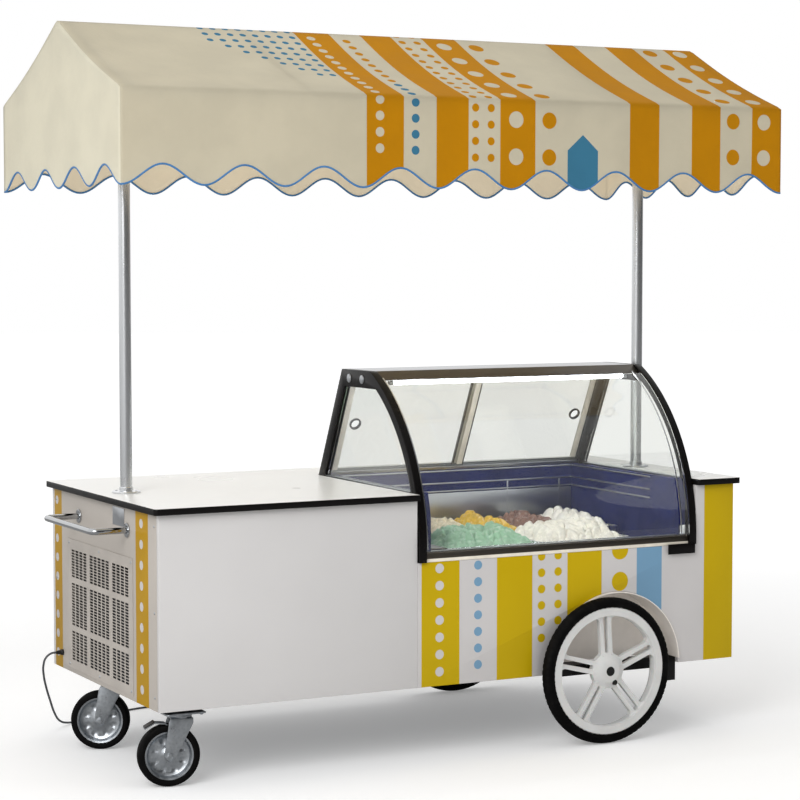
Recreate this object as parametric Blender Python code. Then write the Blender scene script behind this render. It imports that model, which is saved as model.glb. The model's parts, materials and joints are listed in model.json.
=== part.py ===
"""Ice cream cart: a wheeled counter with a curved glass case, twin-spoke wheels and a striped canopy.

Metres, +Z up. The origin is on the floor below the middle of the cart. +X runs along the cart,
away from its push handle. The customer's side is -Y and the seller's side is +Y.
"""

import math

import bmesh
import bpy
from mathutils import Matrix, Vector

# Running clearances and seats
SEAT = 0.0003
RUNNING = 0.0006
OVERRUN = 0.02
WELD = 0.0005

# Worktop: laminated board with a dark edge, cut out for the glass case
TOP_LENGTH = 2.235
TOP_WIDTH = 1.040
TOP_HEIGHT = 0.896
TOP_THICKNESS = 0.021
TOP_OVERHANG = 0.020
TOP_CORNER = 0.014

# Body panels
PANEL = 0.018
PANEL_BOTTOM = 0.248
SILL_HEIGHT = 0.666
CASE_LEFT = -0.1785
CASE_RIGHT = 0.9365

# Glass case: end frames follow one arc from the sill to the flat top
END_FRAME = 0.028
CASE_SIDE_GAP = 0.003
CASE_TOP = 1.287
CASE_ARC = 0.673
CASE_ARC_HEIGHT = 0.6895
CASE_BACK_TOP = 0.075
CASE_BACK = 0.266
GLASS_INSET = 0.003
GLASS_ROOM = 0.0012
FRAME_FRONT_BAND = 0.032
FRAME_TOP_BAND = 0.060
FRAME_BACK_BAND = 0.046
FRAME_FOOT = 0.030
GLASS = 0.006
SILL_RISE = 0.034
SILL_DEPTH = 0.050
TOP_RAIL_LIP = 0.026
TOP_RAIL_PLATE = 0.006
LAMP_HOUSING = 0.034
LAMP_RADIUS = 0.008
LAMP_END_GAP = 0.040

# Sliding doors at the back of the case
DOOR_SHEET = 0.006
DOOR_PASSING = 0.006
DOOR_SIDE = 0.006
DOOR_LAP = 0.040
DOOR_TOP_GAP = 0.003
DOOR_PULL_INSET = 0.060
DOOR_PULL_RADIUS = 0.016
TRACK_WALL = 0.003
TRACK_RIB = 0.001
TRACK_DEPTH = 0.009

# Cold well, its pans and the ice cream
WELL_WALL = 0.030
WELL_FRONT_SETBACK = 0.022
PAN_RIM_HEIGHT = 0.700
PAN_DEPTH = 0.150
PAN_WALL = 0.002
PAN_GAP = 0.010
PAN_FRONT_MARGIN = 0.012
PAN_FRONT_START = -0.030
PAN_FRONT_LENGTH = 0.360
PAN_FRONT_WIDTH = 0.280
PAN_FRONT_COUNT = 2
PAN_BACK_START = 0.100
PAN_BACK_LENGTH = 0.176
PAN_BACK_WIDTH = 0.335
PAN_BACK_COUNT = 4
MOUND_LOW = 0.012
MOUND_HEIGHT = 0.066
MOUND_SIDE_GAP = 0.002

# Chassis
RAIL = 0.040
RAIL_HEIGHT = 0.0265
RAIL_BOTTOM = 0.2403
RAIL_SPREAD = 0.425
RAIL_END_GAP = 0.005

# Big wheels
WHEEL_X = 0.540
WHEEL_Y = 0.540
WHEEL_RADIUS = 0.254
TYRE_WIDTH = 0.046
RIM_RADIUS = 0.2212
RIM_WIDTH = 0.040
RIM_RING = 0.031
WEB = 0.018
HUB_RADIUS = 0.040
HUB_WIDTH = 0.054
SPOKE_PAIRS = 5
SPOKE = 0.0165
SPOKE_SLOT = 0.012
SPOKE_SLOT_FLARE = 0.004
WINDOW_INNER = 0.062
SPOKE_TILT = 3.6
STUB_RADIUS = 0.0120

# Wheel arch: the recess sits a little behind the axle
ARCH_RADIUS = 0.265
ARCH_SHIFT = 0.060
ARCH_DEPTH = 0.110
ARCH_WALL = 0.003
BRACKET_LOW = 0.229
BRACKET_THICK = 0.014
BRACKET_LEFT = 0.345
BRACKET_RIGHT = 0.8815
BRACKET_PAD = 0.080
BRACKET_PAD_LOW = 0.178

# Casters
CASTER_X = -1.0055
CASTER_FRONT_Y = -0.448
CASTER_BACK_Y = 0.170
CASTER_FRONT_TURN = 13.0
CASTER_BACK_TURN = 27.6
CASTER_RADIUS = 0.100
CASTER_WIDTH = 0.045
CASTER_RIM = 0.078
CASTER_TRAIL = 0.040
CASTER_PLATE_LENGTH = 0.135
CASTER_PLATE_WIDTH = 0.110
CASTER_PLATE = 0.005
CASTER_HEAD_RADIUS = 0.036
CASTER_HEAD = 0.014
CASTER_SHEET = 0.005
CASTER_SIDE_CLEAR = 0.0055
CASTER_BOLT = 0.006

# Push handle
HANDLE_TUBE = 0.0105
HANDLE_DROP = 0.097
HANDLE_REACH = 0.130
HANDLE_SPREAD = 0.228
HANDLE_BEND = 0.022
HANDLE_FLANGE = 0.024
HANDLE_FLANGE_THICK = 0.004

# Grille on the handle end
GRILLE_LOW_Y = -0.276
GRILLE_HIGH_Y = 0.342
GRILLE_LOW_Z = 0.264
GRILLE_HIGH_Z = 0.712
GRILLE_PLATE = 0.0025
GRILLE_MARGIN = 0.034
GRILLE_BAR = 0.026
GRILLE_SLOT_BAR_shares = (0.30, 0.42)
GRILLE_BLOCK_HEIGHT_shares = (0.29, 0.43, 0.28)
GRILLE_BLOCK_COLUMNS = 3
GRILLE_BLOCK_ROWS = (3, 5, 3)
VENT_MARGIN = 0.020
UNIT_LENGTH = 0.250
UNIT_WIDTH = 0.560
UNIT_HEIGHT = 0.330
UNIT_SETBACK = 0.040

# Storage bay behind two hinged doors on the seller's side
BAY_LEFT = -0.735
BAY_RIGHT = -0.205
BAY_LOW = 0.310
BAY_TOP_BOARD = 0.066
BAY_SHEET = 0.012
BAY_DEPTH = 0.900
LEAF_GAP = 0.005
HINGE_RADIUS = 0.005
HINGE_KNUCKLE = 0.022
HINGE_LEAF_THICK = 0.002
HINGE_LEAF_WIDTH = 0.024
HINGE_INSET = 0.080
PULL_LENGTH = 0.110
PULL_WIDTH = 0.012
PULL_REACH = 0.024
PULL_INSET = 0.030

# Posts and canopy
POST_RADIUS = 0.020
POST_INSET = 0.1043
FLANGE_RADIUS = 0.048
FLANGE_THICK = 0.006
CANOPY_OVERHANG = 0.1225
CANOPY_WIDTH = 1.136
RIDGE_HEIGHT = 2.450
EAVE_HEIGHT = 2.202
HEM_HEIGHT = 1.936
HEM_WAVE = 0.032
ROOF_SAG = 0.014
LONG_WAVES = 9
END_WAVES = 4
WAVE_STEPS = 8
ROOF_ROWS = 4
FABRIC = 0.003
FRAME_TUBE = 0.0125
FRAME_SLACK = 0.0005
RAFTER_X = 0.592

# Mains lead: leaves the handle end low down, drops to the floor and is coiled behind the cart
CORD_RADIUS = 0.0038
CORD_EXIT_Y = 0.404
CORD_EXIT_HEIGHT = 0.304
GLAND_LENGTH = 0.026
GLAND_RADIUS = 0.011
GLAND_TIP = 0.0055
CORD_ROUTE = (
    (-1.1241, 0.404, 0.304),
    (-1.140, 0.404, 0.303),
    (-1.160, 0.406, 0.289),
    (-1.168, 0.411, 0.262),
    (-1.163, 0.424, 0.225),
    (-1.146, 0.448, 0.176),
    (-1.120, 0.482, 0.120),
    (-1.090, 0.524, 0.066),
    (-1.056, 0.566, 0.028),
    (-1.014, 0.606, 0.010),
    (-0.962, 0.644, 0.0045),
    (-0.890, 0.684, 0.0042),
    (-0.800, 0.722, 0.0042),
    (-0.700, 0.756, 0.0042),
    (-0.640, 0.769, 0.0042),
    (-0.590, 0.774, 0.0042),
    (-0.5465, 0.7742, 0.0042),
)
CORD_STEPS = 4
COIL_X = -0.520
COIL_Y = 0.8205
COIL_RADIUS = 0.0425
COIL_BAND = 0.0152
COIL_HEIGHT = 0.0300
PLUG_START = -0.543
PLUG_TAIL = 0.026
PLUG_TAIL_WIDTH = 0.010
PLUG_BODY = 0.040
PLUG_WIDTH = 0.0256
PLUG_HEIGHT = 0.016
PIN_RADIUS = 0.002
PIN_LENGTH = 0.012
PIN_SPREAD = 0.0078

# Facets on round pieces
FINE = 36
MEDIUM = 20
COARSE = 8

# Sizes that follow from those above
BODY_LENGTH = TOP_LENGTH - 2 * TOP_OVERHANG
BODY_WIDTH = TOP_WIDTH - 2 * TOP_OVERHANG
BODY_X = BODY_LENGTH / 2
BODY_Y = BODY_WIDTH / 2
PANEL_TOP = TOP_HEIGHT - TOP_THICKNESS - SEAT
RAIL_TOP = RAIL_BOTTOM + RAIL_HEIGHT
FLOOR_LOW = RAIL_TOP + SEAT
FLOOR_HIGH = FLOOR_LOW + PANEL
CASE_FRONT = -BODY_Y
END_LEFT_OUTER = CASE_LEFT + CASE_SIDE_GAP
END_LEFT_INNER = END_LEFT_OUTER + END_FRAME
END_RIGHT_OUTER = CASE_RIGHT - CASE_SIDE_GAP
END_RIGHT_INNER = END_RIGHT_OUTER - END_FRAME
CASE_CUT_BACK = CASE_BACK + CASE_SIDE_GAP
WELL_FLOOR = PAN_RIM_HEIGHT - PAN_DEPTH - SEAT
HANDLE_HEIGHT = TOP_HEIGHT - HANDLE_DROP
BAY_HIGH = TOP_HEIGHT - BAY_TOP_BOARD
POST_X = TOP_LENGTH / 2 - POST_INSET
CANOPY_LENGTH = TOP_LENGTH + 2 * CANOPY_OVERHANG


def clear_scene():
    for old in list(bpy.data.objects):
        bpy.data.objects.remove(old, do_unlink=True)


def colour(hex_code):
    """An sRGB hex colour as linear red, green, blue and alpha."""
    shares = [int(hex_code[i : i + 2], 16) / 255 for i in (1, 3, 5)]
    linear = [s / 12.92 if s <= 0.04045 else ((s + 0.055) / 1.055) ** 2.4 for s in shares]
    return (*linear, 1.0)


def finish(name, hex_code, roughness, metallic=0.0, transmission=0.0):
    """A Principled material, made once and shared by the pieces that have it."""
    found = bpy.data.materials.get(name)
    if found:
        return found
    made = bpy.data.materials.new(name)
    made.use_nodes = True
    shader = made.node_tree.nodes["Principled BSDF"]
    shader.inputs["Base Color"].default_value = colour(hex_code)
    shader.inputs["Roughness"].default_value = roughness
    shader.inputs["Metallic"].default_value = metallic
    shader.inputs["Transmission Weight"].default_value = transmission
    return made


def laminate():
    return finish("laminate white", "#E8E8EA", 0.35)


def painted_panel():
    return finish("painted panel", "#D6D5D8", 0.40)


def beige_panel():
    return finish("beige panel", "#B8B0A8", 0.45)


def dark_enamel():
    return finish("black powder coat", "#141414", 0.45)


def stainless():
    return finish("stainless steel", "#C6C8CA", 0.22, 1.0)


def aluminium():
    return finish("anodised aluminium", "#BFC2C6", 0.30, 1.0)


def zinc():
    return finish("zinc plated steel", "#AEB4BA", 0.35, 1.0)


def clear_glass():
    return finish("clear glass", "#F2F6F6", 0.02, 0.0, 1.0)


def navy_liner():
    return finish("navy liner", "#2A3560", 0.40)


def black_rubber():
    return finish("black rubber", "#121212", 0.75)


def white_nylon():
    return finish("white nylon", "#D9DCE0", 0.38)


def canopy_cloth():
    return finish("canopy cloth", "#C9C0A4", 0.85)


def cord_sheath():
    return finish("grey cord sheath", "#5A5C5E", 0.55)


def ice_cream(flavour, hex_code):
    return finish("ice cream " + flavour, hex_code, 0.60)


def add_object(name, mesh, material, origin=(0, 0, 0), smooth=False):
    """Names a bmesh given in world coordinates and puts the object's origin where its joint is."""
    bmesh.ops.translate(mesh, verts=mesh.verts, vec=-Vector(origin))
    bmesh.ops.recalc_face_normals(mesh, faces=mesh.faces)
    data = bpy.data.meshes.new(name)
    mesh.to_mesh(data)
    mesh.free()
    data.materials.append(material)
    made = bpy.data.objects.new(name, data)
    made.location = origin
    bpy.context.scene.collection.objects.link(made)
    if smooth:
        data.shade_smooth()
        data.set_sharp_from_angle(angle=math.radians(35))
    return made


def box(low, high):
    """A closed box between two corners."""
    mesh = bmesh.new()
    made = bmesh.ops.create_cube(mesh, size=1.0)
    middle = [(a + b) / 2 for a, b in zip(low, high)]
    spans = [b - a for a, b in zip(low, high)]
    bmesh.ops.scale(mesh, verts=made["verts"], vec=spans)
    bmesh.ops.translate(mesh, verts=made["verts"], vec=middle)
    return mesh


def placed(axis, first, second, along):
    """A point whose two outline values lie across the axis and whose last value lies along it."""
    return {
        "X": (along, first, second),
        "Y": (first, along, second),
        "Z": (first, second, along),
    }[axis]


def prism(outline, axis, low, high):
    """A closed prism over an outline, from low to high along an axis."""
    mesh = bmesh.new()
    ends = [[mesh.verts.new(placed(axis, a, b, at)) for a, b in outline] for at in (low, high)]
    for ring in ends:
        mesh.faces.new(ring)
    count = len(outline)
    for i in range(count):
        j = (i + 1) % count
        mesh.faces.new((ends[0][i], ends[0][j], ends[1][j], ends[1][i]))
    return mesh


def turned(profile, axis, centre, sides):
    """A closed solid turned round an axis: the profile holds (radius, place along the axis)."""
    mesh = bmesh.new()
    rings = []
    for radius, along in profile:
        if radius == 0:
            rings.append([mesh.verts.new(placed(axis, 0, 0, along))])
            continue
        angles = [2 * math.pi * i / sides for i in range(sides)]
        rings.append(
            [
                mesh.verts.new(placed(axis, radius * math.cos(a), radius * math.sin(a), along))
                for a in angles
            ]
        )
    closed = rings if profile[0][0] == 0 else rings + [rings[0]]
    for this, following in zip(closed, closed[1:]):
        for i in range(sides):
            j = (i + 1) % sides
            corners = [this[i % len(this)], this[j % len(this)]]
            corners += [following[j % len(following)], following[i % len(following)]]
            unique = list(dict.fromkeys(corners))
            mesh.faces.new(unique)
    bmesh.ops.translate(mesh, verts=mesh.verts, vec=centre)
    return mesh


def rod(axis, centre, radius, length, sides=MEDIUM):
    """A plain cylinder, centred, along an axis."""
    half = length / 2
    return turned([(0, -half), (radius, -half), (radius, half), (0, half)], axis, centre, sides)


def tube_between(start, end, radius, sides=COARSE):
    """A solid round bar between two points."""
    mesh = bmesh.new()
    start, end = Vector(start), Vector(end)
    made = bmesh.ops.create_cone(
        mesh, cap_ends=True, segments=sides, radius1=radius, radius2=radius, depth=(end - start).length
    )
    turn = (end - start).to_track_quat("Z", "Y").to_matrix().to_4x4()
    bmesh.ops.transform(mesh, verts=made["verts"], matrix=Matrix.Translation((start + end) / 2) @ turn)
    return mesh


def swept(points, radius, sides=COARSE):
    """A solid round bar that follows a run of points in one level plane."""
    mesh = bmesh.new()
    rings = []
    up = Vector((0, 0, 1))
    for i, point in enumerate(points):
        before = Vector(points[max(i - 1, 0)])
        after = Vector(points[min(i + 1, len(points) - 1)])
        side = (after - before).normalized().cross(up)
        ring = []
        for k in range(sides):
            angle = 2 * math.pi * k / sides
            offset = side * math.cos(angle) * radius + up * math.sin(angle) * radius
            ring.append(mesh.verts.new(Vector(point) + offset))
        rings.append(ring)
    for this, following in zip(rings, rings[1:]):
        for k in range(sides):
            j = (k + 1) % sides
            mesh.faces.new((this[k], this[j], following[j], following[k]))
    mesh.faces.new(rings[0])
    mesh.faces.new(rings[-1])
    return mesh


def merged(meshes):
    """Several closed meshes in one, for a cutter or for pieces that a union joins."""
    out = bmesh.new()
    for mesh in meshes:
        data = bpy.data.meshes.new("piece")
        bmesh.ops.recalc_face_normals(mesh, faces=mesh.faces)
        mesh.to_mesh(data)
        mesh.free()
        out.from_mesh(data)
        bpy.data.meshes.remove(data)
    return out


def combine(target, meshes, operation):
    """Joins closed meshes to an object, or cuts them out of it, and keeps the result as its mesh."""
    for mesh in meshes:
        bmesh.ops.translate(mesh, verts=mesh.verts, vec=-target.location)
        helper = add_object("helper", mesh, target.data.materials[0])
        helper.location = target.location
        step = target.modifiers.new(operation.lower(), "BOOLEAN")
        step.object = helper
        step.operation = operation
        step.solver = "EXACT"
        bpy.context.view_layer.update()
        evaluated = target.evaluated_get(bpy.context.evaluated_depsgraph_get())
        result = bpy.data.meshes.new_from_object(evaluated)
        target.modifiers.remove(step)
        old = target.data
        target.data = result
        bpy.data.meshes.remove(old)
        bpy.data.objects.remove(helper, do_unlink=True)
        result.name = target.name


def join(target, *meshes):
    combine(target, meshes, "UNION")


def cut(target, *meshes):
    combine(target, meshes, "DIFFERENCE")


def turn_about(target, point, axis, degrees):
    """Turns an object about a point, as it stands at rest."""
    turn = Matrix.Rotation(math.radians(degrees), 4, axis)
    place = Matrix.Translation(point) @ turn @ Matrix.Translation(-Vector(point))
    target.matrix_world = place @ Matrix.Translation(target.location)
    bpy.context.view_layer.update()


def rounded_corners(points, radius, steps=4):
    """An outline with each corner rounded to a radius; a corner whose radius is zero stays sharp."""
    out = []
    count = len(points)
    for i, (x, y) in enumerate(points):
        size = radius[i] if isinstance(radius, (list, tuple)) else radius
        if size == 0:
            out.append((x, y))
            continue
        here = Vector((x, y))
        to_before = (Vector(points[i - 1]) - here).normalized()
        to_after = (Vector(points[(i + 1) % count]) - here).normalized()
        half = to_before.angle(to_after) / 2
        reach = size / math.tan(half)
        centre = here + (to_before + to_after).normalized() * (size / math.sin(half))
        start, end = here + to_before * reach - centre, here + to_after * reach - centre
        sweep = start.angle_signed(end)
        for k in range(steps + 1):
            angle = -sweep * k / steps
            turned_arm = Matrix.Rotation(angle, 2) @ start
            out.append(tuple(centre + turned_arm))
    return out


def make_worktop():
    """One board round three sides of the glass case, with its corners slightly rounded."""
    x, y = TOP_LENGTH / 2, TOP_WIDTH / 2
    outline = [(-x, -y), (CASE_LEFT, -y), (CASE_LEFT, CASE_CUT_BACK), (CASE_RIGHT, CASE_CUT_BACK)]
    outline += [(CASE_RIGHT, -y), (x, -y), (x, y), (-x, y)]
    radii = [TOP_CORNER, 0, 0, 0, 0, TOP_CORNER, TOP_CORNER, TOP_CORNER]
    shape = rounded_corners(outline, radii)
    add_object("worktop", prism(shape, "Z", TOP_HEIGHT - TOP_THICKNESS, TOP_HEIGHT), laminate())


def arch_centre_x():
    return WHEEL_X + ARCH_SHIFT


def arch_outline(radius):
    """The arch of the wheel recess, open at the bottom, in X and Z."""
    points = [(arch_centre_x() + radius, PANEL_BOTTOM - OVERRUN)]
    for k in range(MEDIUM + 1):
        angle = math.pi * k / MEDIUM
        points.append((arch_centre_x() + radius * math.cos(angle), WHEEL_RADIUS + radius * math.sin(angle)))
    points.append((arch_centre_x() - radius, PANEL_BOTTOM - OVERRUN))
    return points


def make_front_panels():
    plain = box((-BODY_X, -BODY_Y, PANEL_BOTTOM), (CASE_LEFT - SEAT, PANEL - BODY_Y, PANEL_TOP))
    add_object("front_panel_plain", plain, painted_panel())
    outline = [(CASE_LEFT, PANEL_BOTTOM), (BODY_X, PANEL_BOTTOM)]
    outline += [(BODY_X, PANEL_TOP), (CASE_RIGHT, PANEL_TOP)]
    outline += [(CASE_RIGHT, SILL_HEIGHT), (CASE_LEFT, SILL_HEIGHT)]
    striped = add_object(
        "front_panel_striped", prism(outline, "Y", -BODY_Y, PANEL - BODY_Y), painted_panel()
    )
    cut(striped, prism(arch_outline(ARCH_RADIUS + SEAT), "Y", -BODY_Y - OVERRUN, PANEL - BODY_Y + OVERRUN))


def bay_middle():
    return (BAY_LEFT + BAY_RIGHT) / 2


def hinge_heights():
    return (BAY_LOW + HINGE_INSET, BAY_HIGH - HINGE_INSET)


def hinge_axis(side):
    """The place of a storage door's hinge axis: side -1 is the left door."""
    edge = BAY_LEFT if side < 0 else BAY_RIGHT
    return (edge - side * LEAF_GAP / 2, BODY_Y + HINGE_RADIUS + RUNNING)


def hinge_part(side, towards, low, high):
    """A knuckle with the leaf that lies on the panel or the door beside it."""
    x, y = hinge_axis(side)
    knuckle = rod("Z", (x, y, (low + high) / 2), HINGE_RADIUS, high - low, COARSE)
    ends = sorted((x, x + towards * HINGE_LEAF_WIDTH))
    leaf = box((ends[0], BODY_Y - WELD, low), (ends[1], BODY_Y + HINGE_LEAF_THICK, high))
    return knuckle, leaf


def make_back_panel():
    """The seller's side: one board with the storage opening, the wheel arch and the hinge knuckles."""
    board = box((-BODY_X, BODY_Y - PANEL, PANEL_BOTTOM), (BODY_X, BODY_Y, PANEL_TOP))
    panel = add_object("back_panel", board, painted_panel())
    opening = box((BAY_LEFT, BODY_Y - PANEL - OVERRUN, BAY_LOW), (BAY_RIGHT, BODY_Y + OVERRUN, BAY_HIGH))
    arch = prism(arch_outline(ARCH_RADIUS + SEAT), "Y", BODY_Y - PANEL - OVERRUN, BODY_Y + OVERRUN)
    cut(panel, opening, arch)
    for side in (-1, 1):
        for height in hinge_heights():
            middle = HINGE_KNUCKLE / 2 + SEAT
            for low in (height - middle - HINGE_KNUCKLE, height + middle):
                join(panel, *hinge_part(side, side, low, low + HINGE_KNUCKLE))


def make_end_panels():
    inner = BODY_Y - PANEL - SEAT
    handle_end = box((-BODY_X, -inner, PANEL_BOTTOM), (PANEL - BODY_X, inner, PANEL_TOP))
    panel = add_object("end_panel_handle", handle_end, beige_panel())
    low = (-BODY_X - OVERRUN, GRILLE_LOW_Y + VENT_MARGIN, GRILLE_LOW_Z + VENT_MARGIN)
    high = (PANEL - BODY_X + OVERRUN, GRILLE_HIGH_Y - VENT_MARGIN, GRILLE_HIGH_Z - VENT_MARGIN)
    cut(panel, box(low, high))
    far_end = box((BODY_X - PANEL, -inner, PANEL_BOTTOM), (BODY_X, inner, PANEL_TOP))
    add_object("end_panel_far", far_end, beige_panel())


def spaced_cells(low, high, count, bar_share):
    """The clear spans of evenly spaced slots between two ends."""
    pitch = (high - low) / (count - bar_share)
    return [(low + i * pitch, low + i * pitch + pitch * (1 - bar_share)) for i in range(count)]


def grille_slots():
    """Three by three blocks of slots, the middle row of blocks the tallest."""
    slots = []
    low_y, high_y = GRILLE_LOW_Y + GRILLE_MARGIN, GRILLE_HIGH_Y - GRILLE_MARGIN
    low_z, high_z = GRILLE_LOW_Z + GRILLE_MARGIN, GRILLE_HIGH_Z - GRILLE_MARGIN
    block_width = (high_y - low_y - 2 * GRILLE_BAR) / 3
    free_height = high_z - low_z - 2 * GRILLE_BAR
    top = high_z
    for share, rows in zip(GRILLE_BLOCK_HEIGHT_shares, GRILLE_BLOCK_ROWS):
        bottom = top - free_height * share
        for column in range(3):
            left = low_y + column * (block_width + GRILLE_BAR)
            right = left + block_width
            for y0, y1 in spaced_cells(left, right, GRILLE_BLOCK_COLUMNS, GRILLE_SLOT_BAR_shares[0]):
                for z0, z1 in spaced_cells(bottom, top, rows, GRILLE_SLOT_BAR_shares[1]):
                    slots.append((y0, y1, z0, z1))
        top = bottom - GRILLE_BAR
    return slots


def make_grille():
    """A pressed plate screwed over the vent, with its slots cut right through."""
    outer = -BODY_X - SEAT
    plate = box((outer - GRILLE_PLATE, GRILLE_LOW_Y, GRILLE_LOW_Z), (outer, GRILLE_HIGH_Y, GRILLE_HIGH_Z))
    grille = add_object("grille", plate, beige_panel())
    cutters = [
        box((outer - GRILLE_PLATE - OVERRUN, y0, z0), (outer + OVERRUN, y1, z1))
        for y0, y1, z0, z1 in grille_slots()
    ]
    cut(grille, merged(cutters))


def make_compressor():
    """The refrigeration unit behind the grille, as one plain heavy block on the floor panel."""
    left = PANEL - BODY_X + UNIT_SETBACK
    low = (left, -UNIT_WIDTH / 2, FLOOR_HIGH + SEAT)
    high = (left + UNIT_LENGTH, UNIT_WIDTH / 2, FLOOR_HIGH + SEAT + UNIT_HEIGHT)
    add_object("compressor_block", box(low, high), dark_enamel())


def make_floor():
    inner_x, inner_y = BODY_X - PANEL - SEAT, BODY_Y - PANEL - SEAT
    sheet = box((-inner_x, -inner_y, FLOOR_LOW), (inner_x, inner_y, FLOOR_HIGH))
    panel = add_object("floor_panel", sheet, zinc())
    recess = ARCH_DEPTH + ARCH_WALL + SEAT
    reach = ARCH_RADIUS + ARCH_WALL + SEAT
    for side in (-1, 1):
        edge, deep = side * (BODY_Y + OVERRUN), side * (BODY_Y - recess)
        low = (arch_centre_x() - reach, min(edge, deep), FLOOR_LOW - OVERRUN)
        high = (arch_centre_x() + reach, max(edge, deep), FLOOR_HIGH + OVERRUN)
        cut(panel, box(low, high))


def make_storage_liner():
    """A folded liner: two walls and a back that make the storage bay, open to the seller."""
    left, right = BAY_LEFT - BAY_SHEET - LEAF_GAP, BAY_RIGHT + BAY_SHEET
    back = BODY_Y - PANEL - SEAT
    front = back - BAY_DEPTH
    outline = [(left, back), (left, front), (right, front), (right, back)]
    outline += [(right - BAY_SHEET, back), (right - BAY_SHEET, front + BAY_SHEET)]
    outline += [(left + BAY_SHEET, front + BAY_SHEET), (left + BAY_SHEET, back)]
    add_object("storage_liner", prism(outline, "Z", FLOOR_HIGH + SEAT, PANEL_TOP), painted_panel())


def make_storage_doors():
    """Two hinged doors set in the opening, each with a bar pull near the meeting edge."""
    for side, name in ((-1, "storage_door_left"), (1, "storage_door_right")):
        outer = (BAY_LEFT if side < 0 else BAY_RIGHT) - side * LEAF_GAP
        inner = bay_middle() + side * LEAF_GAP / 2
        low_x, high_x = sorted((outer, inner))
        slab = box((low_x, BODY_Y - PANEL, BAY_LOW + LEAF_GAP), (high_x, BODY_Y, BAY_HIGH - LEAF_GAP))
        x, y = hinge_axis(side)
        door = add_object(name, slab, painted_panel(), (x, y, (BAY_LOW + BAY_HIGH) / 2))
        for height in hinge_heights():
            join(door, *hinge_part(side, -side, height - HINGE_KNUCKLE / 2, height + HINGE_KNUCKLE / 2))
        pull_x = inner + side * PULL_INSET
        middle = (BAY_LOW + BAY_HIGH) / 2
        bar_y = BODY_Y + PULL_REACH
        grip = box(
            (pull_x - PULL_WIDTH / 2, bar_y - PULL_WIDTH, middle - PULL_LENGTH / 2),
            (pull_x + PULL_WIDTH / 2, bar_y, middle + PULL_LENGTH / 2),
        )
        half, third, reach = PULL_WIDTH / 2, PULL_WIDTH / 3, (PULL_LENGTH - PULL_WIDTH) / 2
        feet = [
            box(
                (pull_x - half + WELD, BODY_Y - WELD, middle + up * reach - third),
                (pull_x + half - WELD, bar_y - half, middle + up * reach + third),
            )
            for up in (-1, 1)
        ]
        join(door, grip_with_feet(grip, feet))


def grip_with_feet(grip, feet):
    """The pull as one closed mesh, so that it joins its door in one step."""
    helper = add_object("grip", grip, painted_panel())
    join(helper, *feet)
    out = bmesh.new()
    out.from_mesh(helper.data)
    bpy.data.objects.remove(helper, do_unlink=True)
    return out


def make_wheel_arches():
    """A moulded liner in each recess: the arch wall and the wall behind the wheel."""
    outer = arch_outline(ARCH_RADIUS)
    inner = arch_outline(ARCH_RADIUS - ARCH_WALL)
    for side, name in ((-1, "wheel_arch_front"), (1, "wheel_arch_back")):
        face, deep = side * BODY_Y, side * (BODY_Y - ARCH_DEPTH - ARCH_WALL)
        liner = add_object(name, prism(outer, "Y", min(face, deep), max(face, deep)), beige_panel())
        mouth, floor = side * (BODY_Y + OVERRUN), side * (BODY_Y - ARCH_DEPTH)
        cut(liner, prism(inner, "Y", min(mouth, floor), max(mouth, floor)))
        reach = ARCH_RADIUS + OVERRUN
        low = (arch_centre_x() - reach, -BODY_Y - OVERRUN, 0)
        high = (arch_centre_x() + reach, BODY_Y + OVERRUN, RAIL_TOP + SEAT)
        cut(liner, box(low, high))


def make_chassis():
    """A welded ladder of flat tube, with a stub axle on each side for the big wheels."""
    low, high = RAIL_BOTTOM, RAIL_TOP
    end_x = BODY_X - PANEL - RAIL_END_GAP
    half = RAIL / 2
    chassis = add_object(
        "chassis", box((-end_x, -RAIL_SPREAD - half, low), (end_x, half - RAIL_SPREAD, high)), dark_enamel()
    )
    join(chassis, box((-end_x, RAIL_SPREAD - half, low), (end_x, RAIL_SPREAD + half, high)))
    for x in (CASTER_X, bay_middle(), WHEEL_X, end_x - half):
        join(chassis, box((x - half, -RAIL_SPREAD, low), (x + half, RAIL_SPREAD, high)))
    join(chassis, box((-end_x, CASTER_BACK_Y - half, low), (CASTER_X, CASTER_BACK_Y + half, high)))
    stub_end = WHEEL_Y + HUB_WIDTH / 2 - RUNNING
    for side in (-1, 1):
        middle = side * (RAIL_SPREAD + stub_end) / 2
        join(chassis, rod("Y", (WHEEL_X, middle, WHEEL_RADIUS), STUB_RADIUS, stub_end - RAIL_SPREAD))


def make_brackets():
    """A black bar along each rail across the wheel recess, with the pad that the cart is lifted by."""
    pad = BRACKET_RIGHT - BRACKET_PAD
    outline = [(BRACKET_LEFT, BRACKET_LOW), (pad, BRACKET_LOW), (pad, BRACKET_PAD_LOW)]
    outline += [(BRACKET_RIGHT, BRACKET_PAD_LOW), (BRACKET_RIGHT, RAIL_TOP), (BRACKET_LEFT, RAIL_TOP)]
    inner = RAIL_SPREAD + RAIL / 2 + SEAT
    for side, name in ((-1, "axle_bracket_front"), (1, "axle_bracket_back")):
        ends = sorted((side * inner, side * (inner + BRACKET_THICK)))
        bracket = add_object(name, prism(outline, "Y", ends[0], ends[1]), dark_enamel())
        centre = (WHEEL_X, sum(ends) / 2, WHEEL_RADIUS)
        cut(bracket, rod("Y", centre, STUB_RADIUS + RUNNING, BRACKET_THICK + 2 * OVERRUN))


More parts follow.
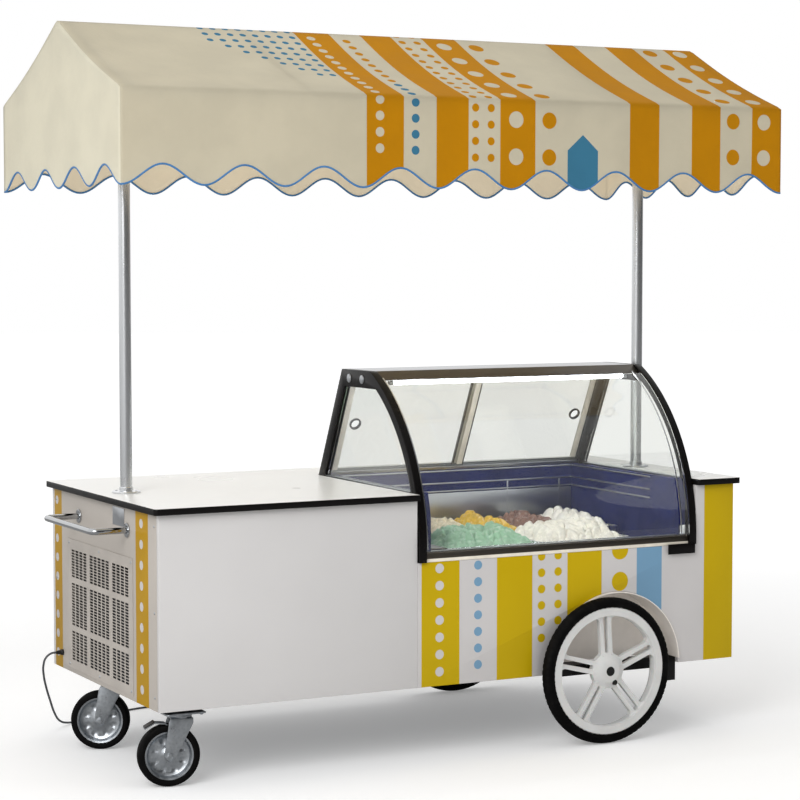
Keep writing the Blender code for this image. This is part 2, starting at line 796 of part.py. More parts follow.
def window_outline(start):
    """One large opening of the wheel, between two pairs of spokes."""
    side = SPOKE_SLOT / 2 + SPOKE
    outer = RIM_RADIUS - RIM_RING
    pitch = 2 * math.pi / SPOKE_PAIRS
    points = []
    for radius, steps, forward in ((outer, 6, True), (WINDOW_INNER, 3, False)):
        lean = math.asin(side / radius)
        angles = [start + lean + (pitch - 2 * lean) * k / steps for k in range(steps + 1)]
        for angle in angles if forward else reversed(angles):
            points.append((radius * math.cos(angle), radius * math.sin(angle)))
    return points


def slot_outline(angle):
    """The narrow slot between the two spokes of a pair, a little wider at the rim."""
    inner, outer = WINDOW_INNER, RIM_RADIUS - RIM_RING
    half, flare = SPOKE_SLOT / 2, SPOKE_SLOT / 2 + SPOKE_SLOT_FLARE / 2
    corners = [(inner, -half), (outer, -flare), (outer, flare), (inner, half)]
    turn = Matrix.Rotation(angle, 2)
    return [tuple(turn @ Vector(corner)) for corner in corners]


def make_big_wheel(side, place):
    """A moulded wheel with five pairs of spokes, and its tyre."""
    centre = (WHEEL_X, side * WHEEL_Y, WHEEL_RADIUS)
    ring, web, hub = RIM_WIDTH / 2, WEB / 2, HUB_WIDTH / 2
    inner = RIM_RADIUS - RIM_RING
    bore = STUB_RADIUS + RUNNING
    profile = [(bore, -hub), (HUB_RADIUS, -hub), (HUB_RADIUS, -web), (inner, -web), (inner, -ring)]
    profile += [(RIM_RADIUS, -ring), (RIM_RADIUS, ring), (inner, ring), (inner, web)]
    profile += [(HUB_RADIUS, web), (HUB_RADIUS, hub), (bore, hub)]
    blank = turned(profile, "Y", centre, FINE)
    wheel = add_object("wheel_rim_" + place, blank, white_nylon(), centre, True)
    openings = []
    for k in range(SPOKE_PAIRS):
        angle = math.radians(90 + SPOKE_TILT) + 2 * math.pi * k / SPOKE_PAIRS
        for outline in (window_outline(angle), slot_outline(angle)):
            moved = [(WHEEL_X + x, WHEEL_RADIUS + z) for x, z in outline]
            openings.append(prism(moved, "Y", centre[1] - WEB, centre[1] + WEB))
    cut(wheel, merged(openings))
    seat = RIM_RADIUS + SEAT
    crown = WHEEL_RADIUS - seat
    section = [(seat, -TYRE_WIDTH / 2)]
    for k in range(7):
        angle = math.pi * k / 6
        section.append((seat + crown * math.sin(angle) ** 0.6, -TYRE_WIDTH / 2 * math.cos(angle)))
    section = [(r, a) for i, (r, a) in enumerate(section) if i != 1]
    add_object("wheel_tyre_" + place, turned(section, "Y", centre, FINE), black_rubber(), centre, True)


def caster_levels():
    """Heights of a caster's plate, head and crown, from the chassis down."""
    plate_top = RAIL_BOTTOM - SEAT
    plate_low = plate_top - CASTER_PLATE
    head_top = plate_low - SEAT
    crown_top = head_top - CASTER_HEAD
    return plate_top, plate_low, head_top, crown_top


def make_caster(y, turn, place):
    """A swivel caster: fixed plate, pressed fork with its head and bolt, disc rim and tyre."""
    plate_top, plate_low, head_top, crown_top = caster_levels()
    pivot = (CASTER_X, y, 0)
    half_x, half_y = CASTER_PLATE_LENGTH / 2, CASTER_PLATE_WIDTH / 2
    corners = [(CASTER_X + a * half_x, y + b * half_y) for a, b in ((-1, -1), (1, -1), (1, 1), (-1, 1))]
    flat = rounded_corners(corners, 2 * CASTER_PLATE)
    add_object("caster_plate_" + place, prism(flat, "Z", plate_low, plate_top), zinc())
    wheel = (CASTER_X - CASTER_TRAIL, y, CASTER_RADIUS)
    inside = CASTER_WIDTH / 2 + CASTER_SIDE_CLEAR
    outside = inside + CASTER_SHEET
    crown_low = crown_top - CASTER_SHEET
    arms = CASTER_HEAD_RADIUS
    shape = [(CASTER_X - arms, crown_top), (CASTER_X + arms, crown_top)]
    shape += [(CASTER_X + arms, crown_low - CASTER_SHEET)]
    shape += [(wheel[0] + 3 * CASTER_BOLT, CASTER_RADIUS - CASTER_BOLT)]
    shape += [(wheel[0], CASTER_RADIUS - 3 * CASTER_BOLT), (wheel[0] - 3 * CASTER_BOLT, CASTER_RADIUS)]
    shape += [(CASTER_X - arms - CASTER_BOLT, crown_low - CASTER_BOLT)]
    fork = add_object("caster_fork_" + place, prism(shape, "Y", y - outside, y + outside), zinc(), pivot)
    gap_low = (CASTER_X - CASTER_TRAIL - CASTER_RADIUS, y - inside, -OVERRUN)
    cut(fork, box(gap_low, (CASTER_X + CASTER_RADIUS, y + inside, crown_low)))
    neck = [(0, crown_top - WELD), (CASTER_HEAD_RADIUS * 0.8, crown_top - WELD)]
    neck += [(CASTER_HEAD_RADIUS, crown_top + CASTER_HEAD / 2), (CASTER_HEAD_RADIUS, head_top)]
    neck += [(0, head_top)]
    join(fork, turned(neck, "Z", (CASTER_X, y, 0), MEDIUM))
    join(fork, rod("Y", wheel, CASTER_BOLT, 2 * outside + 2 * CASTER_SHEET, COARSE))
    rim = make_caster_rim(wheel, inside, place)
    tyre = make_caster_tyre(wheel, place)
    for piece in (fork, rim, tyre):
        turn_about(piece, pivot, "Z", -turn)


def make_caster_rim(wheel, inside, place):
    """A pressed disc between a deep felloe and a hub that fills the fork."""
    bore = CASTER_BOLT + RUNNING
    hub = inside - SEAT
    half = CASTER_WIDTH / 2 - CASTER_SHEET
    web = CASTER_SHEET / 2
    hub_radius = 3 * CASTER_BOLT
    step = CASTER_RIM - CASTER_SHEET
    profile = [(bore, -hub), (hub_radius, -hub), (hub_radius, -web), (step, -web), (step, -half)]
    profile += [(CASTER_RIM, -half)]
    profile += [(radius, -along) for radius, along in reversed(profile)]
    return add_object("caster_rim_" + place, turned(profile, "Y", wheel, MEDIUM), zinc(), wheel, True)


def make_caster_tyre(wheel, place):
    seat, half = CASTER_RIM + SEAT, CASTER_WIDTH / 2
    profile = [(seat, -half), (CASTER_RADIUS - CASTER_SHEET, -half), (CASTER_RADIUS, -half / 2)]
    profile += [(CASTER_RADIUS, half / 2), (CASTER_RADIUS - CASTER_SHEET, half), (seat, half)]
    shape = turned(profile, "Y", wheel, FINE)
    return add_object("caster_tyre_" + place, shape, black_rubber(), wheel, True)


def make_handle():
    """A bent tube: a bar across the end and two square arms to their flanges."""
    panel_x = -BODY_X - SEAT
    bar_x = panel_x - HANDLE_REACH + HANDLE_TUBE
    foot_x = panel_x - HANDLE_FLANGE_THICK * 0.75
    corners = [(foot_x, HANDLE_SPREAD), (bar_x, HANDLE_SPREAD)]
    corners += [(bar_x, -HANDLE_SPREAD), (foot_x, -HANDLE_SPREAD)]
    path = rounded_corners(corners, (0, HANDLE_BEND, HANDLE_BEND, 0), 5)
    points = [(x, y, HANDLE_HEIGHT) for x, y in path]
    handle = add_object("handle", swept(points, HANDLE_TUBE), stainless(), smooth=True)
    for side in (-1, 1):
        centre = (panel_x - HANDLE_FLANGE_THICK / 2, side * HANDLE_SPREAD, HANDLE_HEIGHT)
        join(handle, rod("X", centre, HANDLE_FLANGE, HANDLE_FLANGE_THICK))


def case_outline(front=0.0, top=0.0, back=0.0, foot=0.0):
    """The end frame's outline in Y and Z, drawn in by its band widths; each has as many points."""
    centre_y = CASE_FRONT + CASE_ARC
    radius = CASE_ARC - front
    rise = CASE_TOP - top - CASE_ARC_HEIGHT
    points = [(CASE_FRONT + front, SILL_HEIGHT + SEAT + foot)]
    last = math.asin(rise / radius)
    for k in range(9):
        angle = last * k / 8
        points.append((centre_y - radius * math.cos(angle), CASE_ARC_HEIGHT + radius * math.sin(angle)))
    run, fall = CASE_BACK - CASE_BACK_TOP, CASE_TOP - TOP_HEIGHT
    lean = math.hypot(run, fall) / fall
    shift = back * lean
    points.append((CASE_BACK_TOP - shift + top * run / fall, CASE_TOP - top))
    points.append((CASE_BACK - shift, TOP_HEIGHT))
    points.append((CASE_BACK - shift, SILL_HEIGHT + SEAT + foot))
    return points


def frame_window():
    """The glazed opening of an end frame, whose foot stays below the worktop's level."""
    foot = TOP_HEIGHT - SILL_HEIGHT + FRAME_FOOT
    points = case_outline(FRAME_FRONT_BAND, FRAME_TOP_BAND, FRAME_BACK_BAND, foot)
    back_y = points[-3][0] + (points[-2][0] - points[-3][0]) * (points[-3][1] - TOP_HEIGHT - FRAME_FOOT) / (
        points[-3][1] - TOP_HEIGHT
    )
    low = TOP_HEIGHT + FRAME_FOOT
    centre_y, radius = CASE_FRONT + CASE_ARC, CASE_ARC - FRAME_FRONT_BAND
    first = math.asin((low - CASE_ARC_HEIGHT) / radius)
    last = math.asin((CASE_TOP - FRAME_TOP_BAND - CASE_ARC_HEIGHT) / radius)
    window = []
    for k in range(9):
        angle = first + (last - first) * k / 8
        window.append((centre_y - radius * math.cos(angle), CASE_ARC_HEIGHT + radius * math.sin(angle)))
    window.append(points[-3])
    window.append((back_y, low))
    return window


def make_end_frames():
    """Black end frames with the side panes set in them."""
    window = frame_window()
    middle = (sum(y for y, z in window) / len(window), sum(z for y, z in window) / len(window))
    for place, low in (("left", END_LEFT_OUTER), ("right", END_RIGHT_INNER)):
        frame = add_object(
            "case_end_" + place, prism(case_outline(), "X", low, low + END_FRAME), dark_enamel()
        )
        cut(frame, prism(window, "X", low - OVERRUN, low + END_FRAME + OVERRUN))
        pane = [shrunk(point, middle, SEAT) for point in window]
        centre = low + END_FRAME / 2
        sheet = prism(pane, "X", centre - GLASS / 2, centre + GLASS / 2)
        add_object("case_glass_" + place, sheet, clear_glass())


def shrunk(point, middle, distance):
    """A point moved towards the middle by a small distance."""
    away = Vector(point) - Vector(middle)
    return tuple(Vector(middle) + away * (1 - distance / away.length))


def case_span():
    return END_LEFT_INNER + SEAT, END_RIGHT_INNER - SEAT


def arc_point(radius, angle):
    centre_y = CASE_FRONT + CASE_ARC
    return (centre_y - radius * math.cos(angle), CASE_ARC_HEIGHT + radius * math.sin(angle))


def glass_top_angle():
    return math.asin((CASE_TOP - TOP_RAIL_LIP - SEAT - CASE_ARC_HEIGHT) / CASE_ARC)


def make_front_glass():
    """The curved pane, from its channel in the sill up to the top rail."""
    outer, inner = CASE_ARC - GLASS_INSET, CASE_ARC - GLASS_INSET - GLASS
    first = math.asin((SILL_HEIGHT + SILL_RISE + 2 * SEAT - CASE_ARC_HEIGHT) / inner)
    last = glass_top_angle()
    angles = [first + (last - first) * k / 12 for k in range(13)]
    outline = [arc_point(outer, a) for a in angles] + [arc_point(inner, a) for a in reversed(angles)]
    left, right = case_span()
    add_object("case_glass_front", prism(outline, "X", left, right), clear_glass(), smooth=True)


def make_top_rail():
    """The top plate with its turned-down front lip and the lamp housing behind it."""
    lip_front, lip_low = arc_point(CASE_ARC - GLASS_INSET, glass_top_angle())
    lip_low += SEAT
    front = arc_point(CASE_ARC, math.asin((CASE_TOP - CASE_ARC_HEIGHT) / CASE_ARC))[0]
    plate_low = CASE_TOP - TOP_RAIL_PLATE
    lamp_front = lip_front + 2 * GLASS
    lamp_back, lamp_top = lamp_front + LAMP_HOUSING, CASE_TOP - LAMP_HOUSING
    outline = [(lip_front, lip_low), (lamp_front, lip_low), (lamp_front, lamp_top)]
    outline += [(lamp_back, lamp_top), (lamp_back, plate_low)]
    outline += [(CASE_BACK_TOP, plate_low), (CASE_BACK_TOP, CASE_TOP), (front, CASE_TOP)]
    left, right = case_span()
    add_object("case_top_rail", prism(outline, "X", left, right), aluminium())


def make_lamp():
    """The lamp tube under its housing."""
    left, right = case_span()
    housing = arc_point(CASE_ARC - GLASS_INSET, glass_top_angle())[0] + 2 * GLASS + LAMP_HOUSING / 2
    centre = ((left + right) / 2, housing, CASE_TOP - LAMP_HOUSING - SEAT - LAMP_RADIUS)
    tube = rod("X", centre, LAMP_RADIUS, right - left - 2 * LAMP_END_GAP, COARSE)
    add_object("case_lamp", tube, finish("lamp tube", "#F4F6F8", 0.30), smooth=True)


def make_sill():
    """The bright sill under the front glass, resting on the striped panel and the well's low wall."""
    low, high = SILL_HEIGHT + SEAT, SILL_HEIGHT + SILL_RISE
    left, right = case_span()
    back = CASE_FRONT + SILL_DEPTH
    outline = [(CASE_FRONT, low), (back, low), (back, high - GLASS), (back - GLASS, high)]
    outline += [(CASE_FRONT + GLASS / 2, high), (CASE_FRONT, high - GLASS)]
    add_object("case_sill", prism(outline, "X", left, right), aluminium())


def leaning(across, along):
    """A point by the case's leaning back plane: across is inwards from it, along is up it."""
    run, rise = CASE_BACK_TOP - CASE_BACK, CASE_TOP - TOP_HEIGHT
    length = math.hypot(run, rise)
    up = (run / length, rise / length)
    inwards = (-rise / length, run / length)
    return (
        CASE_BACK + up[0] * along + inwards[0] * across,
        TOP_HEIGHT + up[1] * along + inwards[1] * across,
    )


def lane_offset(lane):
    """How far inwards the sheet of a sliding door lies: lane 0 is the seller's."""
    return TRACK_WALL + DOOR_PASSING / 2 + lane * (DOOR_SHEET + DOOR_PASSING)


def track_width():
    return lane_offset(1) + DOOR_SHEET + DOOR_PASSING / 2 + TRACK_WALL


def level_along(across, height):
    """How far up the leaning plane a point at a given depth reaches a height."""
    run, rise = CASE_BACK - CASE_BACK_TOP, CASE_TOP - TOP_HEIGHT
    return (height - TOP_HEIGHT) * math.hypot(run, rise) / rise + across * run / rise


def track_floors():
    """The floor of the lower runner and that of the upper one, along the leaning plane."""
    low = level_along(track_width(), TOP_HEIGHT) + TRACK_WALL
    high = level_along(0, CASE_TOP - TOP_RAIL_PLATE - SEAT) - TRACK_WALL
    return low, high


def make_tracks():
    """Two runners with a lane for each door: the lower on the well's back edge, the upper under the top."""
    left, right = case_span()
    wide = track_width()
    rib = (lane_offset(0) + DOOR_SHEET + lane_offset(1)) / 2
    bases = (TOP_HEIGHT, CASE_TOP - TOP_RAIL_PLATE - SEAT)
    for name, floor, base, up in zip(("case_track_low", "case_track_high"), track_floors(), bases, (1, -1)):
        tip = floor + up * TRACK_DEPTH
        outline = [(0, level_along(0, base)), (0, tip), (TRACK_WALL, tip), (TRACK_WALL, floor)]
        outline += [(rib - TRACK_RIB / 2, floor), (rib - TRACK_RIB / 2, tip), (rib + TRACK_RIB / 2, tip)]
        outline += [(rib + TRACK_RIB / 2, floor), (wide - TRACK_WALL, floor), (wide - TRACK_WALL, tip)]
        outline += [(wide, tip), (wide, level_along(wide, base))]
        add_object(name, prism([leaning(a, b) for a, b in outline], "X", left, right), aluminium())


def door_width():
    left, right = case_span()
    return (right - left) / 2 - DOOR_SIDE + DOOR_LAP / 2


def make_sliding_doors():
    """Two clear doors on the leaning back, the right one in the seller's lane, each with a finger hole."""
    left, right = case_span()
    low_floor, high_floor = track_floors()
    low, high = low_floor + SEAT, high_floor - DOOR_TOP_GAP
    middle = (low + high) / 2
    for name, lane in (("slide_door_left", 1), ("slide_door_right", 0)):
        start = left + DOOR_SIDE if lane else right - DOOR_SIDE - door_width()
        near = lane_offset(lane)
        corners = [(near, low), (near + DOOR_SHEET, low), (near + DOOR_SHEET, high), (near, high)]
        sheet = prism([leaning(a, b) for a, b in corners], "X", start, start + door_width())
        door = add_object(name, sheet, clear_glass())
        hole_x = start + DOOR_PULL_INSET if lane else start + door_width() - DOOR_PULL_INSET
        first, last = leaning(near - OVERRUN, middle), leaning(near + DOOR_SHEET + OVERRUN, middle)
        cut(door, tube_between((hole_x, *first), (hole_x, *last), DOOR_PULL_RADIUS, MEDIUM))


def well_span():
    return END_LEFT_INNER + SEAT, END_RIGHT_INNER - SEAT


def well_front():
    return CASE_FRONT + WELL_FRONT_SETBACK


def well_back():
    return CASE_BACK - SEAT


def glass_room():
    """The space in front of the glass's inner face, in Y and Z, for trimming what lies behind it."""
    radius = CASE_ARC - GLASS_INSET - GLASS - GLASS_ROOM
    last = math.asin((TOP_HEIGHT + OVERRUN - CASE_ARC_HEIGHT) / radius)
    points = [arc_point(radius, last * k / 8) for k in range(9)]
    ahead = CASE_FRONT - OVERRUN
    return [(ahead, CASE_ARC_HEIGHT)] + points + [(ahead, TOP_HEIGHT + OVERRUN)]


def make_well():
    """The insulated cold well: open above, with a low front wall behind the sill."""
    left, right = well_span()
    front, back = well_front(), well_back()
    top = TOP_HEIGHT - SEAT
    outside = box((left, front, WELL_FLOOR - WELL_WALL), (right, back, top))
    well = add_object("cold_well", outside, navy_liner())
    inside = box(
        (left + WELL_WALL, front + WELL_WALL, WELL_FLOOR),
        (right - WELL_WALL, back - WELL_WALL, top + OVERRUN),
    )
    low_front = box(
        (left + WELL_WALL, front - OVERRUN, SILL_HEIGHT),
        (right - WELL_WALL, front + WELL_WALL + OVERRUN, top + OVERRUN),
    )
    sill_room = box(
        (left - OVERRUN, front - OVERRUN, SILL_HEIGHT),
        (right + OVERRUN, CASE_FRONT + SILL_DEPTH + SEAT, SILL_HEIGHT + SILL_RISE + SEAT),
    )
    cut(well, inside, low_front, sill_room, prism(glass_room(), "X", left - OVERRUN, right + OVERRUN))


def pan_rows():
    """For each row of pans: its start, the length and count of its pans, and its low and high Y."""
    front = well_front() + WELL_WALL + PAN_FRONT_MARGIN
    behind = front + PAN_FRONT_WIDTH + PAN_GAP
    return (
        (PAN_BACK_START, PAN_BACK_LENGTH, PAN_BACK_COUNT, behind, behind + PAN_BACK_WIDTH),
        (PAN_FRONT_START, PAN_FRONT_LENGTH, PAN_FRONT_COUNT, front, front + PAN_FRONT_WIDTH),
    )


def pan_places():
    """The low and high X and Y of each pan: four across the back row and two across the front."""
    places = []
    for start, length, count, low_y, high_y in pan_rows():
        for i in range(count):
            x = start + i * (length + PAN_GAP)
            places.append((x, x + length, low_y, high_y))
    return places


def make_pans():
    """The stainless pans standing on the well's floor, joined by the narrow flanges of their rims."""
    rim = PAN_RIM_HEIGHT
    margin = PAN_GAP * 0.6
    flanges = []
    for start, length, count, low_y, high_y in pan_rows():
        end = start + count * (length + PAN_GAP) - PAN_GAP
        low, high = (start - margin, low_y - margin, rim - PAN_WALL), (end + margin, high_y + margin, rim)
        flanges.append(box(low, high))
    pans = add_object("pans", flanges[0], stainless())
    places = pan_places()
    shells = [box((x0, y0, rim - PAN_DEPTH), (x1, y1, rim - PAN_WALL / 2)) for x0, x1, y0, y1 in places]
    hollows = [
        box(
            (x0 + PAN_WALL, y0 + PAN_WALL, rim - PAN_DEPTH + PAN_WALL),
            (x1 - PAN_WALL, y1 - PAN_WALL, rim + OVERRUN),
        )
        for x0, x1, y0, y1 in places
    ]
    join(pans, flanges[1], merged(shells))
    cut(pans, merged(hollows))


FLAVOURS = (
    ("vanilla", "#E9D9A8"),
    ("lemon", "#E3C95A"),
    ("chocolate", "#7A4A2C"),
    ("coconut", "#F0ECE2"),
    ("mint", "#9CC98C"),
    ("cream", "#EFE6CC"),
)


def make_ice_cream():
    """A heaped block in each pan, highest at its middle, with a few soft folds."""
    columns, rows = 8, 6
    for (x0, x1, y0, y1), (flavour, hex_code) in zip(pan_places(), FLAVOURS):
        low = PAN_RIM_HEIGHT - PAN_DEPTH + PAN_WALL + SEAT
        inset = PAN_WALL + MOUND_SIDE_GAP
        x0, x1, y0, y1 = x0 + inset, x1 - inset, y0 + inset, y1 - inset
        mesh = bmesh.new()
        grid = []
        for i in range(columns + 1):
            line = []
            for j in range(rows + 1):
                u, v = i / columns, j / rows
                inside = 0 < u < 1 and 0 < v < 1
                heap = math.sqrt(math.sin(math.pi * u) * math.sin(math.pi * v)) if inside else 0
                fold = 1 + 0.22 * math.cos(5 * math.pi * u) * math.cos(3 * math.pi * v)
                top = PAN_RIM_HEIGHT - MOUND_LOW + heap * fold * MOUND_HEIGHT
                line.append(mesh.verts.new((x0 + (x1 - x0) * u, y0 + (y1 - y0) * v, top)))
            grid.append(line)
        for i in range(columns):
            for j in range(rows):
                mesh.faces.new((grid[i][j], grid[i + 1][j], grid[i + 1][j + 1], grid[i][j + 1]))
        rim = [grid[i][0] for i in range(columns)] + [grid[columns][j] for j in range(rows)]
        rim += [grid[i][rows] for i in range(columns, 0, -1)] + [grid[0][j] for j in range(rows, 0, -1)]
        base = [mesh.verts.new((v.co.x, v.co.y, low)) for v in rim]
        for k in range(len(rim)):
            n = (k + 1) % len(rim)
            mesh.faces.new((rim[k], rim[n], base[n], base[k]))
        mesh.faces.new(base)
        add_object("ice_cream_" + flavour, mesh, ice_cream(flavour, hex_code), smooth=True)


def roof_height(y):
    """The height of the roof cloth over a point: straight from ridge to eave, less a shallow sag."""
    share = min(abs(y) / (CANOPY_WIDTH / 2), 1.0)
    return RIDGE_HEIGHT + (EAVE_HEIGHT - RIDGE_HEIGHT) * share - ROOF_SAG * math.sin(math.pi * share)


def tube_inset():
    """From the cloth's outer face to the middle of a frame tube under it, square to the cloth."""
    return FABRIC + FRAME_SLACK + FRAME_TUBE


def tube_height(y):
    """The height of a frame tube's middle under the sloping cloth."""
    half = CANOPY_WIDTH / 2
    slope = (RIDGE_HEIGHT - EAVE_HEIGHT + math.pi * ROOF_SAG * math.cos(math.pi * abs(y) / half)) / half
    return roof_height(y) - tube_inset() * math.hypot(1, slope)


def make_posts():
    """Two upright tubes, each on a round flange on the worktop, up to the ridge tube."""
    for side, place in ((-1, "left"), (1, "right")):
        x = side * POST_X
        low = TOP_HEIGHT + SEAT
        high = tube_height(0) - FRAME_TUBE - SEAT
        step = low + FLANGE_THICK
        profile = [(0, low), (FLANGE_RADIUS, low), (FLANGE_RADIUS, step), (POST_RADIUS, step)]
        profile += [(POST_RADIUS, high), (0, high)]
        add_object("post_" + place, turned(profile, "Z", (x, 0, 0), MEDIUM), stainless(), smooth=True)


def make_canopy_frame():
    """Round tubes: the ridge, both eaves, and four pairs of rafters bent to the line of the cloth."""
    ridge = tube_height(0)
    eave_y = CANOPY_WIDTH / 2 - tube_inset()
    eave_z = tube_height(eave_y)
    end = CANOPY_LENGTH / 2 - tube_inset()
    tube = tube_between((-end, 0, ridge), (end, 0, ridge), FRAME_TUBE)
    frame = add_object("canopy_frame", tube, aluminium(), smooth=True)
    for side in (-1, 1):
        join(frame, tube_between((-end, side * eave_y, eave_z), (end, side * eave_y, eave_z), FRAME_TUBE))
    inset = FRAME_TUBE * 1.5
    inner = [CANOPY_WIDTH / 2 * k / ROOF_ROWS for k in range(1 - ROOF_ROWS, ROOF_ROWS)]
    for x in (inset - end, -RAFTER_X, RAFTER_X, end - inset):
        path = [(x, y, tube_height(y)) for y in (-eave_y, *inner, eave_y)]
        join(frame, swept(path, FRAME_TUBE - WELD))


def hem_height(share, waves):
    return HEM_HEIGHT - HEM_WAVE * math.cos(2 * math.pi * waves * share)


def make_canopy_fabric():
    """The canopy's cloth as one sheet: two sagging slopes, two gables and a wavy hem all round."""
    half_x, half_y = CANOPY_LENGTH / 2, CANOPY_WIDTH / 2
    mesh = bmesh.new()
    rows = [half_y * k / ROOF_ROWS for k in range(-ROOF_ROWS, ROOF_ROWS + 1)]
    roof = [
        [mesh.verts.new((-half_x + CANOPY_LENGTH * i / LONG_WAVES, y, roof_height(y))) for y in rows]
        for i in range(LONG_WAVES + 1)
    ]
    for i in range(LONG_WAVES):
        for j in range(len(rows) - 1):
            mesh.faces.new((roof[i][j], roof[i + 1][j], roof[i + 1][j + 1], roof[i][j + 1]))
    corners = {}

    def hem_vertex(x, y, z):
        key = (round(x, 6), round(y, 6))
        if key not in corners:
            corners[key] = mesh.verts.new((x, y, z))
        return corners[key]

    for j, y in ((0, -half_y), (len(rows) - 1, half_y)):
        for i in range(LONG_WAVES):
            low = []
            for k in range(WAVE_STEPS + 1):
                share = (i + k / WAVE_STEPS) / LONG_WAVES
                low.append(hem_vertex(-half_x + CANOPY_LENGTH * share, y, hem_height(share, LONG_WAVES)))
            mesh.faces.new([roof[i][j], roof[i + 1][j]] + low[::-1])
    steps = END_WAVES * WAVE_STEPS // (2 * ROOF_ROWS)
    for i, x in ((0, -half_x), (LONG_WAVES, half_x)):
        for j in range(2 * ROOF_ROWS):
            low = []
            for k in range(steps + 1):
                share = (j + k / steps) / (2 * ROOF_ROWS)
                low.append(hem_vertex(x, -half_y + CANOPY_WIDTH * share, hem_height(share, END_WAVES)))
            mesh.faces.new([roof[i][j], roof[i][j + 1]] + low[::-1])
    cloth = add_object("canopy_fabric", mesh, canopy_cloth())
    skin = cloth.modifiers.new("cloth thickness", "SOLIDIFY")
    skin.thickness = FABRIC
    skin.offset = -1
    skin.use_even_offset = True


def smooth_route(points, steps):
    """Points along a smooth curve that passes through each point of the route."""
    places = [Vector(p) for p in points]
    ends = [2 * places[0] - places[1]] + places + [2 * places[-1] - places[-2]]
    out = []
    for i in range(1, len(ends) - 2):
        a, b, c, d = ends[i - 1 : i + 3]
        for k in range(steps):
            t = k / steps
            bend, twist = 2 * a - 5 * b + 4 * c - d, 3 * b - a - 3 * c + d
            out.append(b + ((c - a) * t + bend * t**2 + twist * t**3) / 2)
    out.append(places[-1])
    return out


def make_cord():
    """The mains lead: gland, free stretch, coil behind the cart and plug on the coil."""
    exit_x = -BODY_X - SEAT
    tip = exit_x - GLAND_LENGTH
    profile = [(0, tip), (GLAND_TIP, tip), (GLAND_RADIUS, exit_x - GLAND_TIP)]
    profile += [(GLAND_RADIUS, exit_x), (0, exit_x)]
    shape = turned(profile, "X", (0, CORD_EXIT_Y, CORD_EXIT_HEIGHT), COARSE)
    add_object("cord_gland", shape, black_rubber(), smooth=True)
    points = smooth_route(CORD_ROUTE, CORD_STEPS)
    line = bpy.data.curves.new("cord", "CURVE")
    line.dimensions = "3D"
    line.bevel_depth = CORD_RADIUS
    line.bevel_resolution = 2
    line.use_fill_caps = True
    run = line.splines.new("POLY")
    run.points.add(len(points) - 1)
    for spot, point in zip(run.points, points):
        spot.co = (*point, 1.0)
    line.materials.append(cord_sheath())
    cord = bpy.data.objects.new("cord", line)
    bpy.context.scene.collection.objects.link(cord)
    inner, outer = COIL_RADIUS - COIL_BAND / 2, COIL_RADIUS + COIL_BAND / 2
    low, high = SEAT, SEAT + COIL_HEIGHT
    profile = [(inner, low), (outer, low), (outer, high), (inner, high)]
    ring = turned(profile, "Z", (COIL_X, COIL_Y, 0), MEDIUM)
    add_object("cord_coil", ring, cord_sheath(), smooth=True)
    make_plug(high + SEAT)


def make_plug(low):
    """A flat moulded plug with three round pins in line, lying on the coil."""
    y, z = COIL_Y - COIL_RADIUS, low + PLUG_HEIGHT / 2
    face = PLUG_START + PLUG_TAIL + PLUG_BODY
    half_tail, half_width = PLUG_TAIL_WIDTH / 2, PLUG_WIDTH / 2
    outline = [(PLUG_START, -half_tail), (face - PLUG_BODY, -half_tail)]
    outline += [(face - PLUG_BODY / 2, -half_width), (face, -half_width)]
    outline += [(x, -across) for x, across in reversed(outline)]
    shape = prism([(x, y + across) for x, across in outline], "Z", low, low + PLUG_HEIGHT)
    plug = add_object("cord_plug", shape, black_rubber())
    for side in (-1, 0, 1):
        middle = face + PIN_LENGTH / 2 - WELD
        join(plug, rod("X", (middle, y + side * PIN_SPREAD, z), PIN_RADIUS, PIN_LENGTH, COARSE))


def main():
    clear_scene()
    make_worktop()
    make_front_panels()
    make_back_panel()
    make_end_panels()
    make_grille()
    make_compressor()
    make_floor()
    make_storage_liner()
    make_storage_doors()
    make_wheel_arches()
    make_chassis()
    make_brackets()
    make_big_wheel(-1, "front")
    make_big_wheel(1, "back")
    make_caster(CASTER_FRONT_Y, CASTER_FRONT_TURN, "front")
    make_caster(CASTER_BACK_Y, CASTER_BACK_TURN, "back")
    make_handle()
    make_end_frames()
    make_front_glass()
    make_top_rail()
    make_lamp()
    make_sill()
    make_tracks()
    make_sliding_doors()
    make_well()
    make_pans()
    make_ice_cream()
    make_posts()
    make_canopy_frame()
    make_canopy_fabric()
    make_cord()


main()
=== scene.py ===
"""An ice cream cart over its fixed frame: printed panels, glass case, ice cream, wheels, cloth canopy and mains lead.

Metres, +Z up, in the frame's own coordinates. +X runs away from the push handle and the customer's side is -Y.
"""

import json
import math

import bmesh
import bpy
from bpy.props import FloatProperty, FloatVectorProperty, IntProperty, PointerProperty
from mathutils import Matrix, Vector, noise

